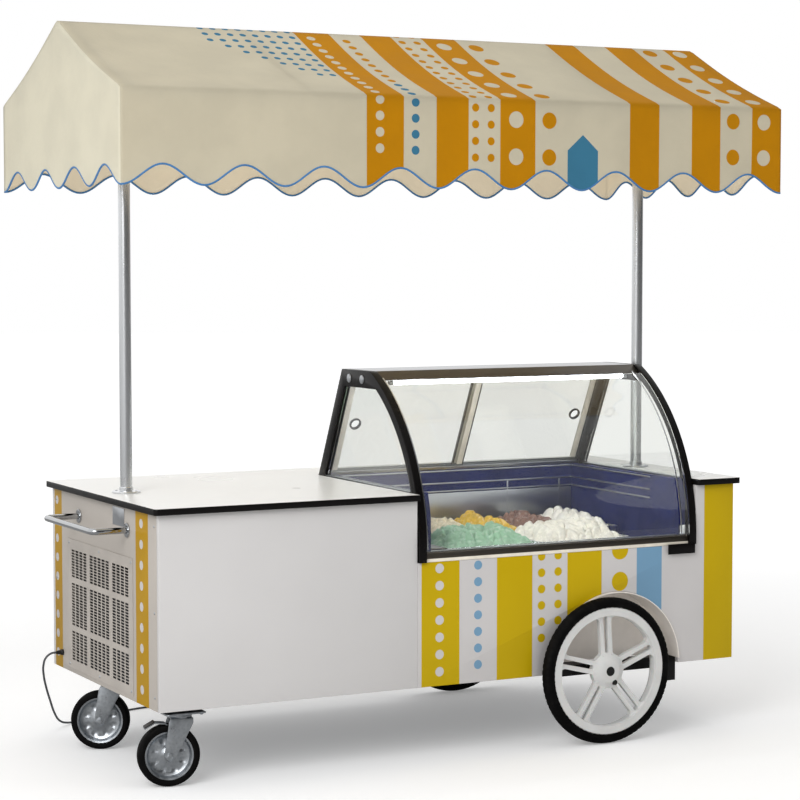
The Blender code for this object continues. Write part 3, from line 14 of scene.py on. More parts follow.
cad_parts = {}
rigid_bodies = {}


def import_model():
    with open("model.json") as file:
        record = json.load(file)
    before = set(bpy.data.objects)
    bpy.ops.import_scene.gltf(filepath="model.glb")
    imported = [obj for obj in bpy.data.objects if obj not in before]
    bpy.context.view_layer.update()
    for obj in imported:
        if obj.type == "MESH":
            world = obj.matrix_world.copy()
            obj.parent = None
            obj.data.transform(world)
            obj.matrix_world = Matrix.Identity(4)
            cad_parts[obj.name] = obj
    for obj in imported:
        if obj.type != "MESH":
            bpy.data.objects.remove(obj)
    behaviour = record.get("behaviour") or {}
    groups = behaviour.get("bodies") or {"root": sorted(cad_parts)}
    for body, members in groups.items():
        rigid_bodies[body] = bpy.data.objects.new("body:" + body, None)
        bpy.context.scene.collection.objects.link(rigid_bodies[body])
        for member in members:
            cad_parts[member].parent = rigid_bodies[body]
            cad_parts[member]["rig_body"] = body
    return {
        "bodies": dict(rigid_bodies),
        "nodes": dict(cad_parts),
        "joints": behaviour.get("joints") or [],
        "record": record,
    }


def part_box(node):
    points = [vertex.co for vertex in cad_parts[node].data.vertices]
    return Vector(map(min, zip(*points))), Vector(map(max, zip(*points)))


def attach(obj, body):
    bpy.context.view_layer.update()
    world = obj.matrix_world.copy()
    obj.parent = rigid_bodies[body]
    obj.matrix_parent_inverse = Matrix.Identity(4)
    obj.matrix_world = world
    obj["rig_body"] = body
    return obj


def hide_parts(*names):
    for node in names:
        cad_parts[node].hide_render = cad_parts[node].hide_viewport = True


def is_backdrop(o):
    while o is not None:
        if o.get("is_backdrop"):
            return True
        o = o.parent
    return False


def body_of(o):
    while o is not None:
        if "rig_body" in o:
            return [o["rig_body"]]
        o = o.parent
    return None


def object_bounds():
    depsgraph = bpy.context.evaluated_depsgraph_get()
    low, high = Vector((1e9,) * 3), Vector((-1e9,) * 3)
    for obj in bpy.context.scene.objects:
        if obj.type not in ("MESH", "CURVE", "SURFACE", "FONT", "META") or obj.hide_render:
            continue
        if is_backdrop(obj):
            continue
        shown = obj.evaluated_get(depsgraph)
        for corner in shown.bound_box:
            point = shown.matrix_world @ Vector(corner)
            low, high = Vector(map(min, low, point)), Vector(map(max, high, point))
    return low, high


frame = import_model()
NODES = frame["nodes"]
FRAME_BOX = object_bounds()

bl_info = {
    "name": "Ice cream cart",
    "version": (1, 0, 0),
    "blender": (4, 5, 0),
    "location": "3D View > Sidebar > Cart",
    "description": "Dresses the frame of an ice cream cart with its finishes, canopy, ice cream and mains lead",
    "category": "Object",
}

# Body, from the frame's own pieces
TOP_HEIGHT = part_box("worktop")[1][2]
BODY_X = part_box("front_panel_plain")[0][0]
BODY_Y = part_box("back_panel")[1][1]

# Glass case: one arc from the sill to the flat top, then a leaning back
CASE_TOP = 1.287
CASE_ARC = 0.673
CASE_ARC_HEIGHT = 0.6895
CASE_BACK_TOP = 0.075
CASE_BACK = 0.266
FRAME_BANDS = (0.032, 0.060, 0.046)
FRAME_FOOT = 0.0042
GLASS = 0.006
GLASS_INSET = 0.003
DOOR_HOLE, DOOR_HOLE_INSET = 0.016, 0.060
DOOR_SHEET, DOOR_STILE, DOOR_SEAL = 0.006, 0.028, 0.006
BUTTONS_Y, BUTTONS_Z = (-0.085, 0.014), 1.2565
# Blank plates and screws, as places across and up on the faces that carry them
FRONT_PLATE = ((0.812, 0.636), (0.925, 0.6715))
HANDLE_PLATE = ((-0.202, 0.806), (-0.098, 0.866))
PANEL_SCREWS = ((-0.462, 0.462), (0.290, 0.560, 0.835))
ARCH_WALL = 0.003

# Big wheels
WHEEL_X = 0.540
WHEEL_Y = 0.540
WHEEL_RADIUS = 0.254
TYRE_WIDTH = 0.046
RIM_RADIUS = 0.2212
RIM_WIDTH = 0.040
RIM_RING = 0.031
WEB = 0.018
HUB_RADIUS = 0.040
HUB_WIDTH = 0.054
SPOKE_PAIRS = 5
SPOKE = 0.0165
SPOKE_SLOT = 0.014
SPOKE_TILT = 3.6
WINDOW_INNER = 0.062
BORE = 0.0126
TREAD_CUT = 0.0016

# Casters: places and how far each is turned
CASTERS = {"front": (-1.0055, -0.448, 13.0), "back": (-1.0055, 0.170, 27.6)}
CASTER_RADIUS = 0.100
CASTER_WIDTH = 0.045
CASTER_RIM = 0.078
CASTER_TRAIL = 0.040
CASTER_SHEET = 0.005
CASTER_INSIDE = 0.028
CASTER_HEAD = 0.036
CASTER_CROWN = 0.2207
CASTER_HEAD_TOP = 0.2347
CASTER_BOLT = 0.006
DIMPLES = 8
DIMPLE_RING, DIMPLE_RADIUS, DIMPLE_DEPTH = 0.048, 0.0115, 0.0034

# Push handle
HANDLE_TUBE = 0.0105
HANDLE_HEIGHT = 0.799
HANDLE_REACH = 0.130
HANDLE_SPREAD = 0.228
HANDLE_BEND = 0.022
HANDLE_FLANGE = 0.024
HANDLE_SCREW_RING = 0.0175

# Canopy
CANOPY_X = 1.240
CANOPY_Y = 0.568
RIDGE_HEIGHT = 2.450
EAVE_HEIGHT = 2.202
HEM_HEIGHT = 1.936
HEM_WAVE = 0.032
ROOF_SAG = 0.014
LONG_WAVES = 9
END_WAVES = 4
RAFTER_X = 0.592
POST_TUBE, POST_FLANGE, POST_COLLAR, POST_SCREW_RING = 0.020, 0.048, 0.006, 0.0365
# The hanging cloth's folds: how soon they start along a side, and which pattern each kind of side takes
LONG_FADE, END_FADE = 40, 12
LONG_SEED, END_SEED = 5.0, 9.0
PIPING_INSET, PIPING_RISE = 0.0016, 0.0008
PIPING_LONG, PIPING_END = 216, 96

# Mains lead: out of the handle end, down to the floor and into a coil behind the cart
CORD_DIAMETER = 0.0076
CORD_ROUTE = (
    (-1.1241, 0.404, 0.304),
    (-1.1400, 0.404, 0.303),
    (-1.1600, 0.406, 0.289),
    (-1.1680, 0.411, 0.262),
    (-1.1630, 0.424, 0.225),
    (-1.1460, 0.448, 0.176),
    (-1.1200, 0.482, 0.120),
    (-1.0900, 0.524, 0.066),
    (-1.0560, 0.566, 0.028),
    (-1.0140, 0.606, 0.010),
    (-0.9620, 0.644, 0.0045),
    (-0.8900, 0.684, 0.0042),
    (-0.8000, 0.722, 0.0042),
    (-0.7000, 0.756, 0.0042),
    (-0.6400, 0.769, 0.0042),
    (-0.5900, 0.774, 0.0042),
)
COIL_CENTRE = (-0.520, 0.8205)
COIL_RADIUS = 0.0425
COIL_LAYERS = 4
COIL_PER_TURN = 16
TURN_PITCH = CORD_DIAMETER * 1.03
CORD_REST = CORD_ROUTE[-1][2]
TIE_SHEET = 0.0012
TIE_HALF = 0.007

# Prints: where each band starts, and fields of dots as colour, first dot, pitch, count and diameter
FRONT_BANDS = (
    (-0.1785, "print_white"),
    (-0.1665, "print_yellow"),
    (-0.0205, "print_white"),
    (0.1255, "print_yellow"),
    (0.2635, "print_white"),
    (0.4015, "print_yellow"),
    (0.5400, "print_white"),
    (0.6875, "print_blue"),
    (0.7925, "print_white"),
    (0.9680, "print_yellow"),
    (1.0975, None),
)
FRONT_DOTS = (
    ("print_white", (-0.0950, 0.296), (0, 0.0580), (1, 7), 0.032),
    ("print_blue", (0.0525, 0.308), (0, 0.0563), (1, 7), 0.031),
    ("print_yellow", (0.3015, 0.379), (0.066, 0.0562), (2, 6), 0.030),
    ("print_yellow", (0.6195, 0.553), (0, 0.1100), (1, 2), 0.067),
)
END_BANDS = ((-0.500, "beige"), (-0.413, "end_yellow"), (-0.302, "beige"), (0.404, "end_yellow"), (0.500, None))
END_DOTS = (
    ("print_white", (-0.3500, 0.298), (0, 0.0669), (1, 9), 0.030),
    ("print_white", (0.4550, 0.298), (0, 0.0669), (1, 9), 0.030),
)
CLOTH_BANDS = (
    (-1.2400, "cloth_cream"),
    (-0.4010, "cloth_ochre"),
    (-0.2750, "cloth_cream"),
    (-0.1490, "cloth_ochre"),
    (-0.0250, "cloth_cream"),
    (0.0925, "cloth_ochre"),
    (0.2170, "cloth_cream"),
    (0.6018, "cloth_ochre"),
    (0.7227, "cloth_cream"),
    (0.8486, "cloth_ochre"),
    (0.9730, "cloth_cream"),
    (1.1026, "cloth_ochre"),
    (1.2370, "cloth_cream"),
    # The gables' plain cloth is painted light: a lighter copy of the cream ground, so that the ends look more brightly
    # lit
    (1.2400, "cloth_end_painted_light"),
    (2.6000, None),
)
# Along the roof these are measured from the ridge, over the eave and down to the hem
CLOTH_DOTS = (
    ("cloth_blue", (-0.7430, 0.008), (0.0457, 0.0490), (8, 9), 0.023),
    ("cloth_cream", (-0.3520, 0.0560), (0, 0.0525), (1, 15), 0.031),
    ("cloth_ochre", (-0.2220, 0.0670), (0, 0.0525), (1, 8), 0.029),
    ("cloth_blue", (-0.2220, 0.4850), (0, 0.0517), (1, 7), 0.029),
    ("cloth_ochre", (0.0010, -0.0030), (0.0590, 0.0545), (2, 16), 0.027),
    ("cloth_cream", (0.1560, 0.0740), (0, 0.1225), (1, 7), 0.055),
    ("cloth_ochre", (0.2845, 0.0740), (0, 0.1225), (1, 7), 0.055),
    ("cloth_ochre", (1.0340, 0.0480), (0, 0.1245), (1, 7), 0.055),
    ("cloth_cream", (1.1660, 0.0480), (0, 0.1245), (1, 7), 0.055),
)
BLUE_STRIPE = (0.3565, 0.4770, 0.784, 0.731)

FLAVOURS = ("vanilla", "lemon", "chocolate", "coconut", "mint", "cream")
LUMP = 0.040
HEAP_STEP = 0.0034
HEAP_INSET = 0.0045
HEAP_BASE = 0.686
PAN_RIM = 0.004
PAN_SHEET = 0.0010
WELL_RAILS = (0.812, 0.842, 0.887)
WELL_RIBS = (0.590, 0.816)
DECK_HEIGHT = 0.7020
DECK_BARS = (-0.42, -0.39, -0.36)


def linear(hex_code):
    """An sRGB hex colour as linear red, green and blue."""
    shares = [int(hex_code[k : k + 2], 16) / 255 for k in (1, 3, 5)]
    return tuple(s / 12.92 if s <= 0.04045 else ((s + 0.055) / 1.055) ** 2.4 for s in shares)


def colour_setting(name, description, hex_code):
    return FloatVectorProperty(
        name=name, description=description, subtype="COLOR", size=3, min=0, max=1, default=linear(hex_code)
    )


def length_setting(name, description, default, high):
    return FloatProperty(
        name=name, description=description, unit="LENGTH", precision=4, min=0, max=high, default=default
    )


class CartColours(bpy.types.PropertyGroup):
    """The colours of the cart's finishes and prints."""

    laminate: colour_setting("Laminate", "Laminate of the worktop", "#F7F7F5")
    panel: colour_setting("Panels", "Lacquered board of the body", "#D1CFCE")
    beige: colour_setting("Beige", "Handle end, its grille and the far end", "#BBB4AC")
    # Painted light: the arches are near white, lighter than their real beige coat, so that their shaded recess looks
    # lit
    arch: colour_setting("Arches", "Powder coat of the wheel arches", "#FFF8F0")
    # Painted light in part: the stiles' own cream is set lighter, so that their shaded faces look lit
    stile_cream_painted_light: colour_setting("Stiles", "Stiles of the sliding doors", "#F2EADA")
    print_yellow: colour_setting("Printed yellow", "Yellow of the printed film on the body", "#C2A404")
    end_yellow: colour_setting("Handle-end yellow", "Yellow of the printed film on the handle end", "#B48A08")
    print_white: colour_setting("Printed white", "White of the printed film on the body", "#C9C6C5")
    print_blue: colour_setting("Printed blue", "Light blue of the printed film on the body", "#749BB8")
    cloth_cream: colour_setting("Cloth cream", "Ground of the canopy cloth", "#CAC2AC")
    cloth_ochre: colour_setting("Cloth ochre", "Ochre stripes and dots of the canopy", "#C08208")
    # Painted light: the gables' cloth is set lighter than the cream ground, so that the ends look more brightly lit
    cloth_end_painted_light: colour_setting("Cloth ends", "Plain cloth at the canopy's two ends", "#E2DDC9")
    cloth_inside: colour_setting("Cloth inside", "Unprinted inner face of the canopy", "#F4E8D0")
    cloth_blue: colour_setting("Cloth blue", "Blue dots and stripe of the canopy", "#3E7896")
    piping: colour_setting("Piping", "Bound edge of the canopy's hem", "#4A7FB5")
    black: colour_setting("Black", "Edge band, end frames and chassis", "#100E0E")
    navy: colour_setting("Navy", "Liner of the cold well", "#0D1A55")
    nylon: colour_setting("Wheel white", "Moulded wheels", "#D6D6D4")
    rubber: colour_setting("Rubber", "Tyres and feet", "#050404")
    sheath: colour_setting("Lead", "Sheath of the mains lead", "#4C4E52")
    vanilla: colour_setting("Vanilla", "Ice cream in the back row, first pan", "#E8DCC0")
    lemon: colour_setting("Lemon", "Ice cream in the back row, second pan", "#E0B840")
    chocolate: colour_setting("Chocolate", "Ice cream in the back row, third pan", "#8B6A5E")
    coconut: colour_setting("Coconut", "Ice cream in the back row, fourth pan", "#F6F2EA")
    mint: colour_setting("Mint", "Ice cream in the front row, first pan", "#9CC4A6")
    cream: colour_setting("Cream", "Ice cream in the front row, second pan", "#F4EFE4")


class CartSizes(bpy.types.PropertyGroup):
    """The sizes that a maker may change without touching the frame."""

    edge: length_setting("Edge rounding", "Radius on the edges of boards and plates", 0.0014, 0.004)
    fold: length_setting("Valance folds", "How far the hanging cloth waves in and out", 0.006, 0.010)
    piping: length_setting("Piping", "Thickness of the bound hem", 0.0068, 0.010)
    crease: length_setting("Scooped creases", "Depth of the folds in the ice cream", 0.012, 0.02)
    tread: IntProperty(name="Tread blocks", description="Blocks round each big tyre", default=72, min=24, max=96)


def colours():
    return bpy.context.scene.cart_colours


def sizes():
    return bpy.context.scene.cart_sizes


def shade(name, alpha=1.0):
    """A named colour of the cart, as a shader socket takes it."""
    return (*getattr(colours(), name), alpha)


# Materials


def add_node(tree, kind, settings=None, links=None):
    """Adds a shader node with its settings, and feeds its sockets from other nodes or from their outputs."""
    node = tree.nodes.new("ShaderNode" + kind)
    for key, value in (settings or {}).items():
        if isinstance(key, str) and hasattr(node, key):
            setattr(node, key, value)
        else:
            node.inputs[key].default_value = value
    for key, source in (links or {}).items():
        output = source if isinstance(source, bpy.types.NodeSocket) else source.outputs[0]
        tree.links.new(output, node.inputs[key])
    return node


def new_finish(name, sockets):
    """An empty Principled material with its plain values on the shader's own sockets."""
    made = bpy.data.materials.new(name)
    made.use_nodes = True
    tree = made.node_tree
    tree.nodes.clear()
    shader = add_node(tree, "BsdfPrincipled", sockets)
    add_node(tree, "OutputMaterial", links={"Surface": shader})
    return made, tree, shader


def enliven(tree, shader, colour, shading, blotch, rough, grain, depth, stretch=(1, 1, 1)):
    """Keeps a surface from looking flat: slow shading of its colour, uneven gloss and a fine grain.

    blotch and grain are real sizes in metres, and depth is the height of the grain.
    """
    place = add_node(tree, "TexCoord").outputs["Object"]
    place = add_node(tree, "VectorMath", {"operation": "MULTIPLY", 1: stretch}, {0: place})
    slow = add_node(tree, "TexNoise", {"Scale": 1 / blotch, "Detail": 3.0}, {"Vector": place})
    tone = add_node(
        tree, "MapRange", {"From Min": 0.35, "From Max": 0.65, "To Min": 1 - shading, "To Max": 1.0}, {"Value": slow}
    )
    mix = {"data_type": "RGBA", "blend_type": "MULTIPLY", 0: 1.0}
    if isinstance(colour, tuple):
        mixed = add_node(tree, "Mix", {**mix, 6: colour}, {7: tone})
    else:
        mixed = add_node(tree, "Mix", mix, {6: colour, 7: tone})
    tree.links.new(mixed.outputs[2], shader.inputs["Base Color"])
    fine = add_node(tree, "TexNoise", {"Scale": 1 / grain, "Detail": 2.0}, {"Vector": place})
    gloss = add_node(
        tree, "MapRange", {"From Min": 0.3, "From Max": 0.7, "To Min": rough[0], "To Max": rough[1]}, {"Value": slow}
    )
    tree.links.new(gloss.outputs[0], shader.inputs["Roughness"])
    bump = add_node(tree, "Bump", {"Strength": 1.0, "Distance": depth}, {"Height": fine})
    tree.links.new(bump.outputs[0], shader.inputs["Normal"])
    return place, mixed.outputs[2], bump


def plain_finish(name, sockets, *surface):
    """A material that needs no more than its shader's values and an enlivened surface."""
    made, tree, shader = new_finish(name, sockets)
    enliven(tree, shader, *surface)
    return made


def banded(tree, along, bands):
    """The colour of each band from where it starts, in metres along one coordinate."""
    low, high = bands[0][0], bands[-1][0]
    share = add_node(tree, "MapRange", {"From Min": low, "From Max": high}, {"Value": along})
    ramp = add_node(tree, "ValToRGB", links={"Fac": share})
    ramp.color_ramp.interpolation = "CONSTANT"
    elements = ramp.color_ramp.elements
    elements.remove(elements[1])
    for k, (start, name) in enumerate(bands[:-1]):
        element = elements.new((start - low) / (high - low)) if k else elements[0]
        element.color = shade(name)
    return ramp


def dotted(tree, colour, place, fields):
    """Prints fields of round dots over a colour; place is across in X and along in Y."""
    for name, first, pitch, count, diameter in fields:
        centre = (first[0], first[1], 0)
        step = (pitch[0], pitch[1], 0)
        last = (count[0] - 1, count[1] - 1, 0)
        from_first = add_node(tree, "VectorMath", {"operation": "SUBTRACT", 1: centre}, {0: place})
        cells = add_node(
            tree, "VectorMath", {"operation": "DIVIDE", 1: [max(s, 0.0001) for s in step]}, {0: from_first}
        )
        nearest = add_node(tree, "VectorMath", {"operation": "ADD", 1: (0.5, 0.5, 0)}, {0: cells})
        nearest = add_node(tree, "VectorMath", {"operation": "FLOOR"}, {0: nearest})
        nearest = add_node(tree, "VectorMath", {"operation": "MAXIMUM", 1: (0, 0, 0)}, {0: nearest})
        nearest = add_node(tree, "VectorMath", {"operation": "MINIMUM", 1: last}, {0: nearest})
        spot = add_node(tree, "VectorMath", {"operation": "MULTIPLY", 1: step}, {0: nearest})
        gap = add_node(tree, "VectorMath", {"operation": "SUBTRACT"}, {0: from_first, 1: spot})
        away = add_node(tree, "VectorMath", {"operation": "LENGTH"}, {0: gap})
        inside = add_node(
            tree, "Math", {"operation": "LESS_THAN", 1: diameter / 2}, {0: away.outputs["Value"]}
        ).outputs[0]
        if count[0] > 2:
            inside = slanted(tree, inside, nearest)
        mixed = add_node(tree, "Mix", {"data_type": "RGBA", 7: shade(name)}, {0: inside, 6: colour})
        colour = mixed.outputs[2]
    return colour


def slanted(tree, inside, nearest):
    """Cuts a field of dots off on a slant, so that each row reaches a little further than the one before."""
    parts = add_node(tree, "SeparateXYZ", links={0: nearest})
    reach = add_node(tree, "Math", {"operation": "MULTIPLY_ADD", 1: 1.0, 2: 2.5}, {0: parts.outputs["X"]})
    kept = add_node(tree, "Math", {"operation": "LESS_THAN"}, {0: parts.outputs["Y"], 1: reach})
    return add_node(tree, "Math", {"operation": "MULTIPLY"}, {0: inside, 1: kept}).outputs[0]


def flat_place(tree, across, along):
    """Two of the object's coordinates as a flat place for a print."""
    parts = add_node(tree, "SeparateXYZ", links={0: add_node(tree, "TexCoord").outputs["Object"]})
    flat = add_node(tree, "CombineXYZ", links={"X": parts.outputs[across], "Y": parts.outputs[along]})
    return flat, parts.outputs[across]


def laminate():
    """High-pressure laminate, pressed with a pearl texture: a satin white with a very fine grain."""
    return plain_finish("pearl laminate", {"IOR": 1.5}, shade("laminate"), 0.03, 0.40, (0.26, 0.34), 0.0022, 0.00003)


def edge_band():
    """Extruded ABS edge band, glued on and scraped: even satin black with faint lines along it."""
    sockets = {"IOR": 1.54, "Specular IOR Level": 0.15}
    return plain_finish(
        "black ABS edge band", sockets, shade("black"), 0.2, 0.10, (0.30, 0.42), 0.003, 0.00004, (1, 1, 12)
    )


def lacquered_board():
    """Lacquered board: a smooth pale satin that shades very slowly from one end to the other."""
    sockets = {"IOR": 1.5, "Specular IOR Level": 0.35}
    return plain_finish("lacquered board", sockets, shade("panel"), 0.035, 0.45, (0.30, 0.38), 0.004, 0.00003)


def printed_film(name, across, bands, dots):
    """Vinyl film with a printed pattern, laid on board: clean-edged bands and dots under a satin overlaminate."""
    made, tree, shader = new_finish(name, {"IOR": 1.5, "Specular IOR Level": 0.15})
    place, along = flat_place(tree, across, "Z")
    colour = dotted(tree, banded(tree, along, bands).outputs[0], place, dots)
    enliven(tree, shader, colour, 0.05, 0.30, (0.34, 0.44), 0.005, 0.00003)
    return made


def powder_coat(name, colour):
    """Powder coat on sheet steel: satin, with the soft orange peel of baked powder."""
    sockets = {"IOR": 1.5, "Specular IOR Level": 0.3}
    return plain_finish(name, sockets, shade(colour), 0.10, 0.09, (0.34, 0.48), 0.0030, 0.00008)


def black_enamel():
    """Painted aluminium of the end frames: deep black with a soft gloss."""
    sockets = {"IOR": 1.5, "Specular IOR Level": 0.15}
    return plain_finish("black enamel", sockets, shade("black"), 0.15, 0.12, (0.24, 0.34), 0.006, 0.00003)


def metal(name, hex_code, rough, stretch, grain, depth, shading=0.08, sockets=None):
    """Bare metal. Its grain is stretched along the way in which it was drawn, brushed or polished."""
    sockets = {"Metallic": 1.0, **(sockets or {})}
    return plain_finish(name, sockets, (*linear(hex_code), 1.0), shading, 0.06, rough, grain, depth, stretch)


def stainless():
    """Brushed stainless steel, as pressed pans and posts are: long fine streaks and a soft sheen."""
    return metal("brushed stainless steel", "#E0E2E4", (0.20, 0.32), (1, 1, 0.06), 0.0016, 0.00003)


def chrome():
    """Polished and plated tube: a mirror with the faintest waviness."""
    return metal("polished chrome", "#B4B6B8", (0.05, 0.11), (1, 1, 1), 0.012, 0.00004, 0.04)


def anodised():
    """Anodised aluminium extrusion: pale grey, with drawing lines along its length."""
    return metal("anodised aluminium", "#BFC2C6", (0.28, 0.40), (0.05, 1, 1), 0.0014, 0.00003)


def dark_anodised():
    """Dark brown-grey anodising with the same drawing lines, duller than the bright rails; painted shade on their
    fronts.
    """
    return metal("dark anodised aluminium", "#6A645C", (0.34, 0.46), (0.05, 1, 1), 0.0014, 0.00003)


def zinc():
    """Bright zinc plating on pressed steel: bluish, with cloudy patches where it has dulled."""
    made, tree, shader = new_finish("zinc plated steel", {"Metallic": 1.0})
    place, colour, bump = enliven(
        tree, shader, (*linear("#C8CCD0"), 1.0), 0.12, 0.018, (0.26, 0.44), 0.0030, 0.00004
    )
    patches = add_node(tree, "TexVoronoi", {"Scale": 130.0, "feature": "SMOOTH_F1"}, {"Vector": place})
    tint = add_node(tree, "Mix", {"data_type": "RGBA", 6: (*linear("#B4BAC0"), 1), 7: (1, 1, 1, 1)}, {0: patches})
    mixed = add_node(
        tree, "Mix", {"data_type": "RGBA", "blend_type": "MULTIPLY", 0: 0.5}, {6: colour, 7: tint.outputs[2]}
    )
    tree.links.new(mixed.outputs[2], shader.inputs["Base Color"])
    return made


def pane(name, tint, rough=0.0):
    """Clear sheet: what is behind it shows with a faint tint, and lamps shine through to what it covers."""
    made = bpy.data.materials.new(name)
    made.use_nodes = True
    tree = made.node_tree
    tree.nodes.clear()
    glass = add_node(
        tree,
        "BsdfPrincipled",
        {"Base Color": (*linear(tint), 1.0), "Roughness": rough, "IOR": 1.5, "Transmission Weight": 1.0},
    )
    clear = add_node(tree, "BsdfTransparent", {"Color": (*linear(tint), 1.0)})
    path = add_node(tree, "LightPath")
    both = add_node(tree, "MixShader", links={0: path.outputs["Is Shadow Ray"], 1: glass, 2: clear})
    add_node(tree, "OutputMaterial", links={"Surface": both})
    return made


def float_glass():
    """Toughened float glass, bent hot over a form: clear, with a hint of green."""
    return pane("toughened glass", "#F5F6F4")


def acrylic():
    """Cast acrylic sheet of the sliding doors: clear and a little warmer than glass."""
    return pane("cast acrylic", "#ECEDEA", 0.01)


def nylon():
    """Glass-filled nylon, moulded: cold white, slightly soft in its shadows, its tone shading slowly at random."""
    sockets = {"IOR": 1.53, "Subsurface Weight": 0.06, "Subsurface Scale": 0.004}
    return plain_finish("moulded white nylon", sockets, shade("nylon"), 0.07, 0.06, (0.32, 0.46), 0.0024, 0.00004)


def rubber():
    """Cured rubber: near black, matt, with dust that lies in greyer patches."""
    made, tree, shader = new_finish("cured rubber", {"IOR": 1.52, "Specular IOR Level": 0.12})
    place, colour, bump = enliven(tree, shader, shade("rubber"), 0.3, 0.03, (0.62, 0.85), 0.0024, 0.00012)
    dust = add_node(tree, "TexNoise", {"Scale": 14.0, "Detail": 5.0, "Roughness": 0.65}, {"Vector": place})
    amount = add_node(
        tree, "MapRange", {"From Min": 0.5, "From Max": 0.75, "To Min": 0.0, "To Max": 0.05}, {"Value": dust}
    )
    mixed = add_node(
        tree, "Mix", {"data_type": "RGBA", 7: (*linear("#5B5854"), 1.0)}, {0: amount, 6: colour}
    )
    tree.links.new(mixed.outputs[2], shader.inputs["Base Color"])
    return made


def navy_liner():
    """Glass-fibre liner with a gel coat: deep blue and glossy, clouded a little by cold and wiping."""
    sockets = {"IOR": 1.5, "Specular IOR Level": 0.06}
    return plain_finish("navy gel coat", sockets, shade("navy"), 0.22, 0.10, (0.22, 0.36), 0.005, 0.00005)


def moulded_black():
    """ABS moulding with a spark-eroded grain: dark, dull and slightly speckled."""
    return plain_finish("black ABS moulding", {"IOR": 1.54}, shade("black"), 0.2, 0.04, (0.42, 0.58), 0.0012, 0.00006)


def pvc_sheath(name, colour):
    """PVC, extruded or moulded: smooth, a little waxy, with faint scuffs."""
    return plain_finish(name, {"IOR": 1.53}, shade(colour), 0.14, 0.05, (0.38, 0.54), 0.0018, 0.00004)


def condenser():
    """Finned aluminium core, dusty: upright fins as fine dark and light lines, painted shade in the gaps and light on
    the edges.

    Real fins stand 2 mm apart, and here they are drawn 5 mm apart so that they show.
    """
    made, tree, shader = new_finish("condenser fins", {"Metallic": 0.4})
    place, colour, bump = enliven(
        tree, shader, (*linear("#3A3D40"), 1.0), 0.4, 0.05, (0.45, 0.7), 0.002, 0.0001
    )
    # Painted shade between the fins and painted light on their edges, as stripes in the colour
    fins = add_node(
        tree, "TexWave", {"Scale": 0.314 / 0.005, "bands_direction": "Y", "wave_profile": "SIN"}, {"Vector": place}
    )
    ramp = {"From Min": 0.2, "From Max": 0.8, "To Min": 0.25}
    ramp = add_node(tree, "MapRange", ramp, {"Value": fins.outputs["Fac"]})
    mixed = add_node(tree, "Mix", {"data_type": "RGBA", "blend_type": "MULTIPLY", 0: 1.0}, {6: colour, 7: ramp})
    tree.links.new(mixed.outputs[2], shader.inputs["Base Color"])
    return made


def lamp_diffuser():
    """Opal polycarbonate over a row of lamps: a soft white that glows by itself."""
    sockets = {"Roughness": 0.4, "Emission Color": (*linear("#F4F8FF"), 1.0), "Emission Strength": 22.0}
    ground = (*linear("#F2F5F8"), 1.0)
    return plain_finish("opal diffuser", sockets, ground, 0.04, 0.05, (0.35, 0.45), 0.003, 0.00003)


def canopy_cloth():
    """Woven acrylic canvas, printed on its outer face: matt, with threads, and some light that comes through.

    Real threads stand 0.5 mm apart, and here they are drawn 3 mm apart so that they show.
    """
    made, tree, shader = new_finish(
        "printed acrylic canvas", {"IOR": 1.45, "Specular IOR Level": 0.1, "Sheen Weight": 0.03, "Sheen Roughness": 0.5}
    )
    flat = add_node(tree, "TexCoord").outputs["UV"]
    parts = add_node(tree, "SeparateXYZ", links={0: flat})
    ground = banded(tree, parts.outputs["X"], CLOTH_BANDS).outputs[0]
    colour = dotted(tree, blue_stripe(tree, ground, parts), flat, CLOTH_DOTS)
    plain = add_node(tree, "NewGeometry").outputs["Backfacing"]
    colour = add_node(tree, "Mix", {"data_type": "RGBA", 7: shade("cloth_inside")}, {0: plain, 6: colour}).outputs[2]
    place, shaded, bump = enliven(tree, shader, colour, 0.07, 0.16, (0.78, 0.92), 0.02, 0.0008)
    threads = []
    for direction in ("X", "Y"):
        wave = {"Scale": 0.314 / 0.003, "bands_direction": direction, "Distortion": 0.4, "Detail": 1.0}
        threads.append(add_node(tree, "TexWave", wave, {"Vector": flat}).outputs["Fac"])
    weave = add_node(tree, "Math", {"operation": "MULTIPLY"}, {0: threads[0], 1: threads[1]})
    woven = add_node(tree, "Bump", {"Strength": 0.35, "Distance": 0.0003}, {"Height": weave, "Normal": bump})
    tree.links.new(woven.outputs[0], shader.inputs["Normal"])
    through = add_node(tree, "BsdfTranslucent", links={"Color": shaded, "Normal": woven})
    both = add_node(tree, "MixShader", {0: 0.22}, {1: shader, 2: through})
    tree.links.new(both.outputs[0], tree.nodes["Material Output"].inputs["Surface"])
    return made


def blue_stripe(tree, ground, parts):
    """A short plain stripe that hangs on the valance only, with a pointed top."""
    left, right, shoulder, tip = BLUE_STRIPE
    half = (right - left) / 2
    aside = add_node(tree, "Math", {"operation": "SUBTRACT", 1: (left + right) / 2}, {0: parts.outputs["X"]})
    aside = add_node(tree, "Math", {"operation": "ABSOLUTE"}, {0: aside})
    narrow = add_node(tree, "Math", {"operation": "LESS_THAN", 1: half}, {0: aside})
    top = add_node(tree, "Math", {"operation": "MULTIPLY_ADD", 1: (shoulder - tip) / half, 2: tip}, {0: aside})
    below = add_node(tree, "Math", {"operation": "GREATER_THAN"}, {0: parts.outputs["Y"], 1: top})
    inside = add_node(tree, "Math", {"operation": "MULTIPLY"}, {0: narrow, 1: below})
    return add_node(tree, "Mix", {"data_type": "RGBA", 7: shade("cloth_blue")}, {0: inside, 6: ground}).outputs[2]


def piping_tape():
    """Bias tape sewn over the cut edge: blue cotton with a fine rib across it."""
    sockets = {"IOR": 1.45, "Specular IOR Level": 0.2, "Sheen Weight": 0.1}
    return plain_finish("blue bias tape", sockets, shade("piping"), 0.15, 0.03, (0.75, 0.9), 0.002, 0.0002)


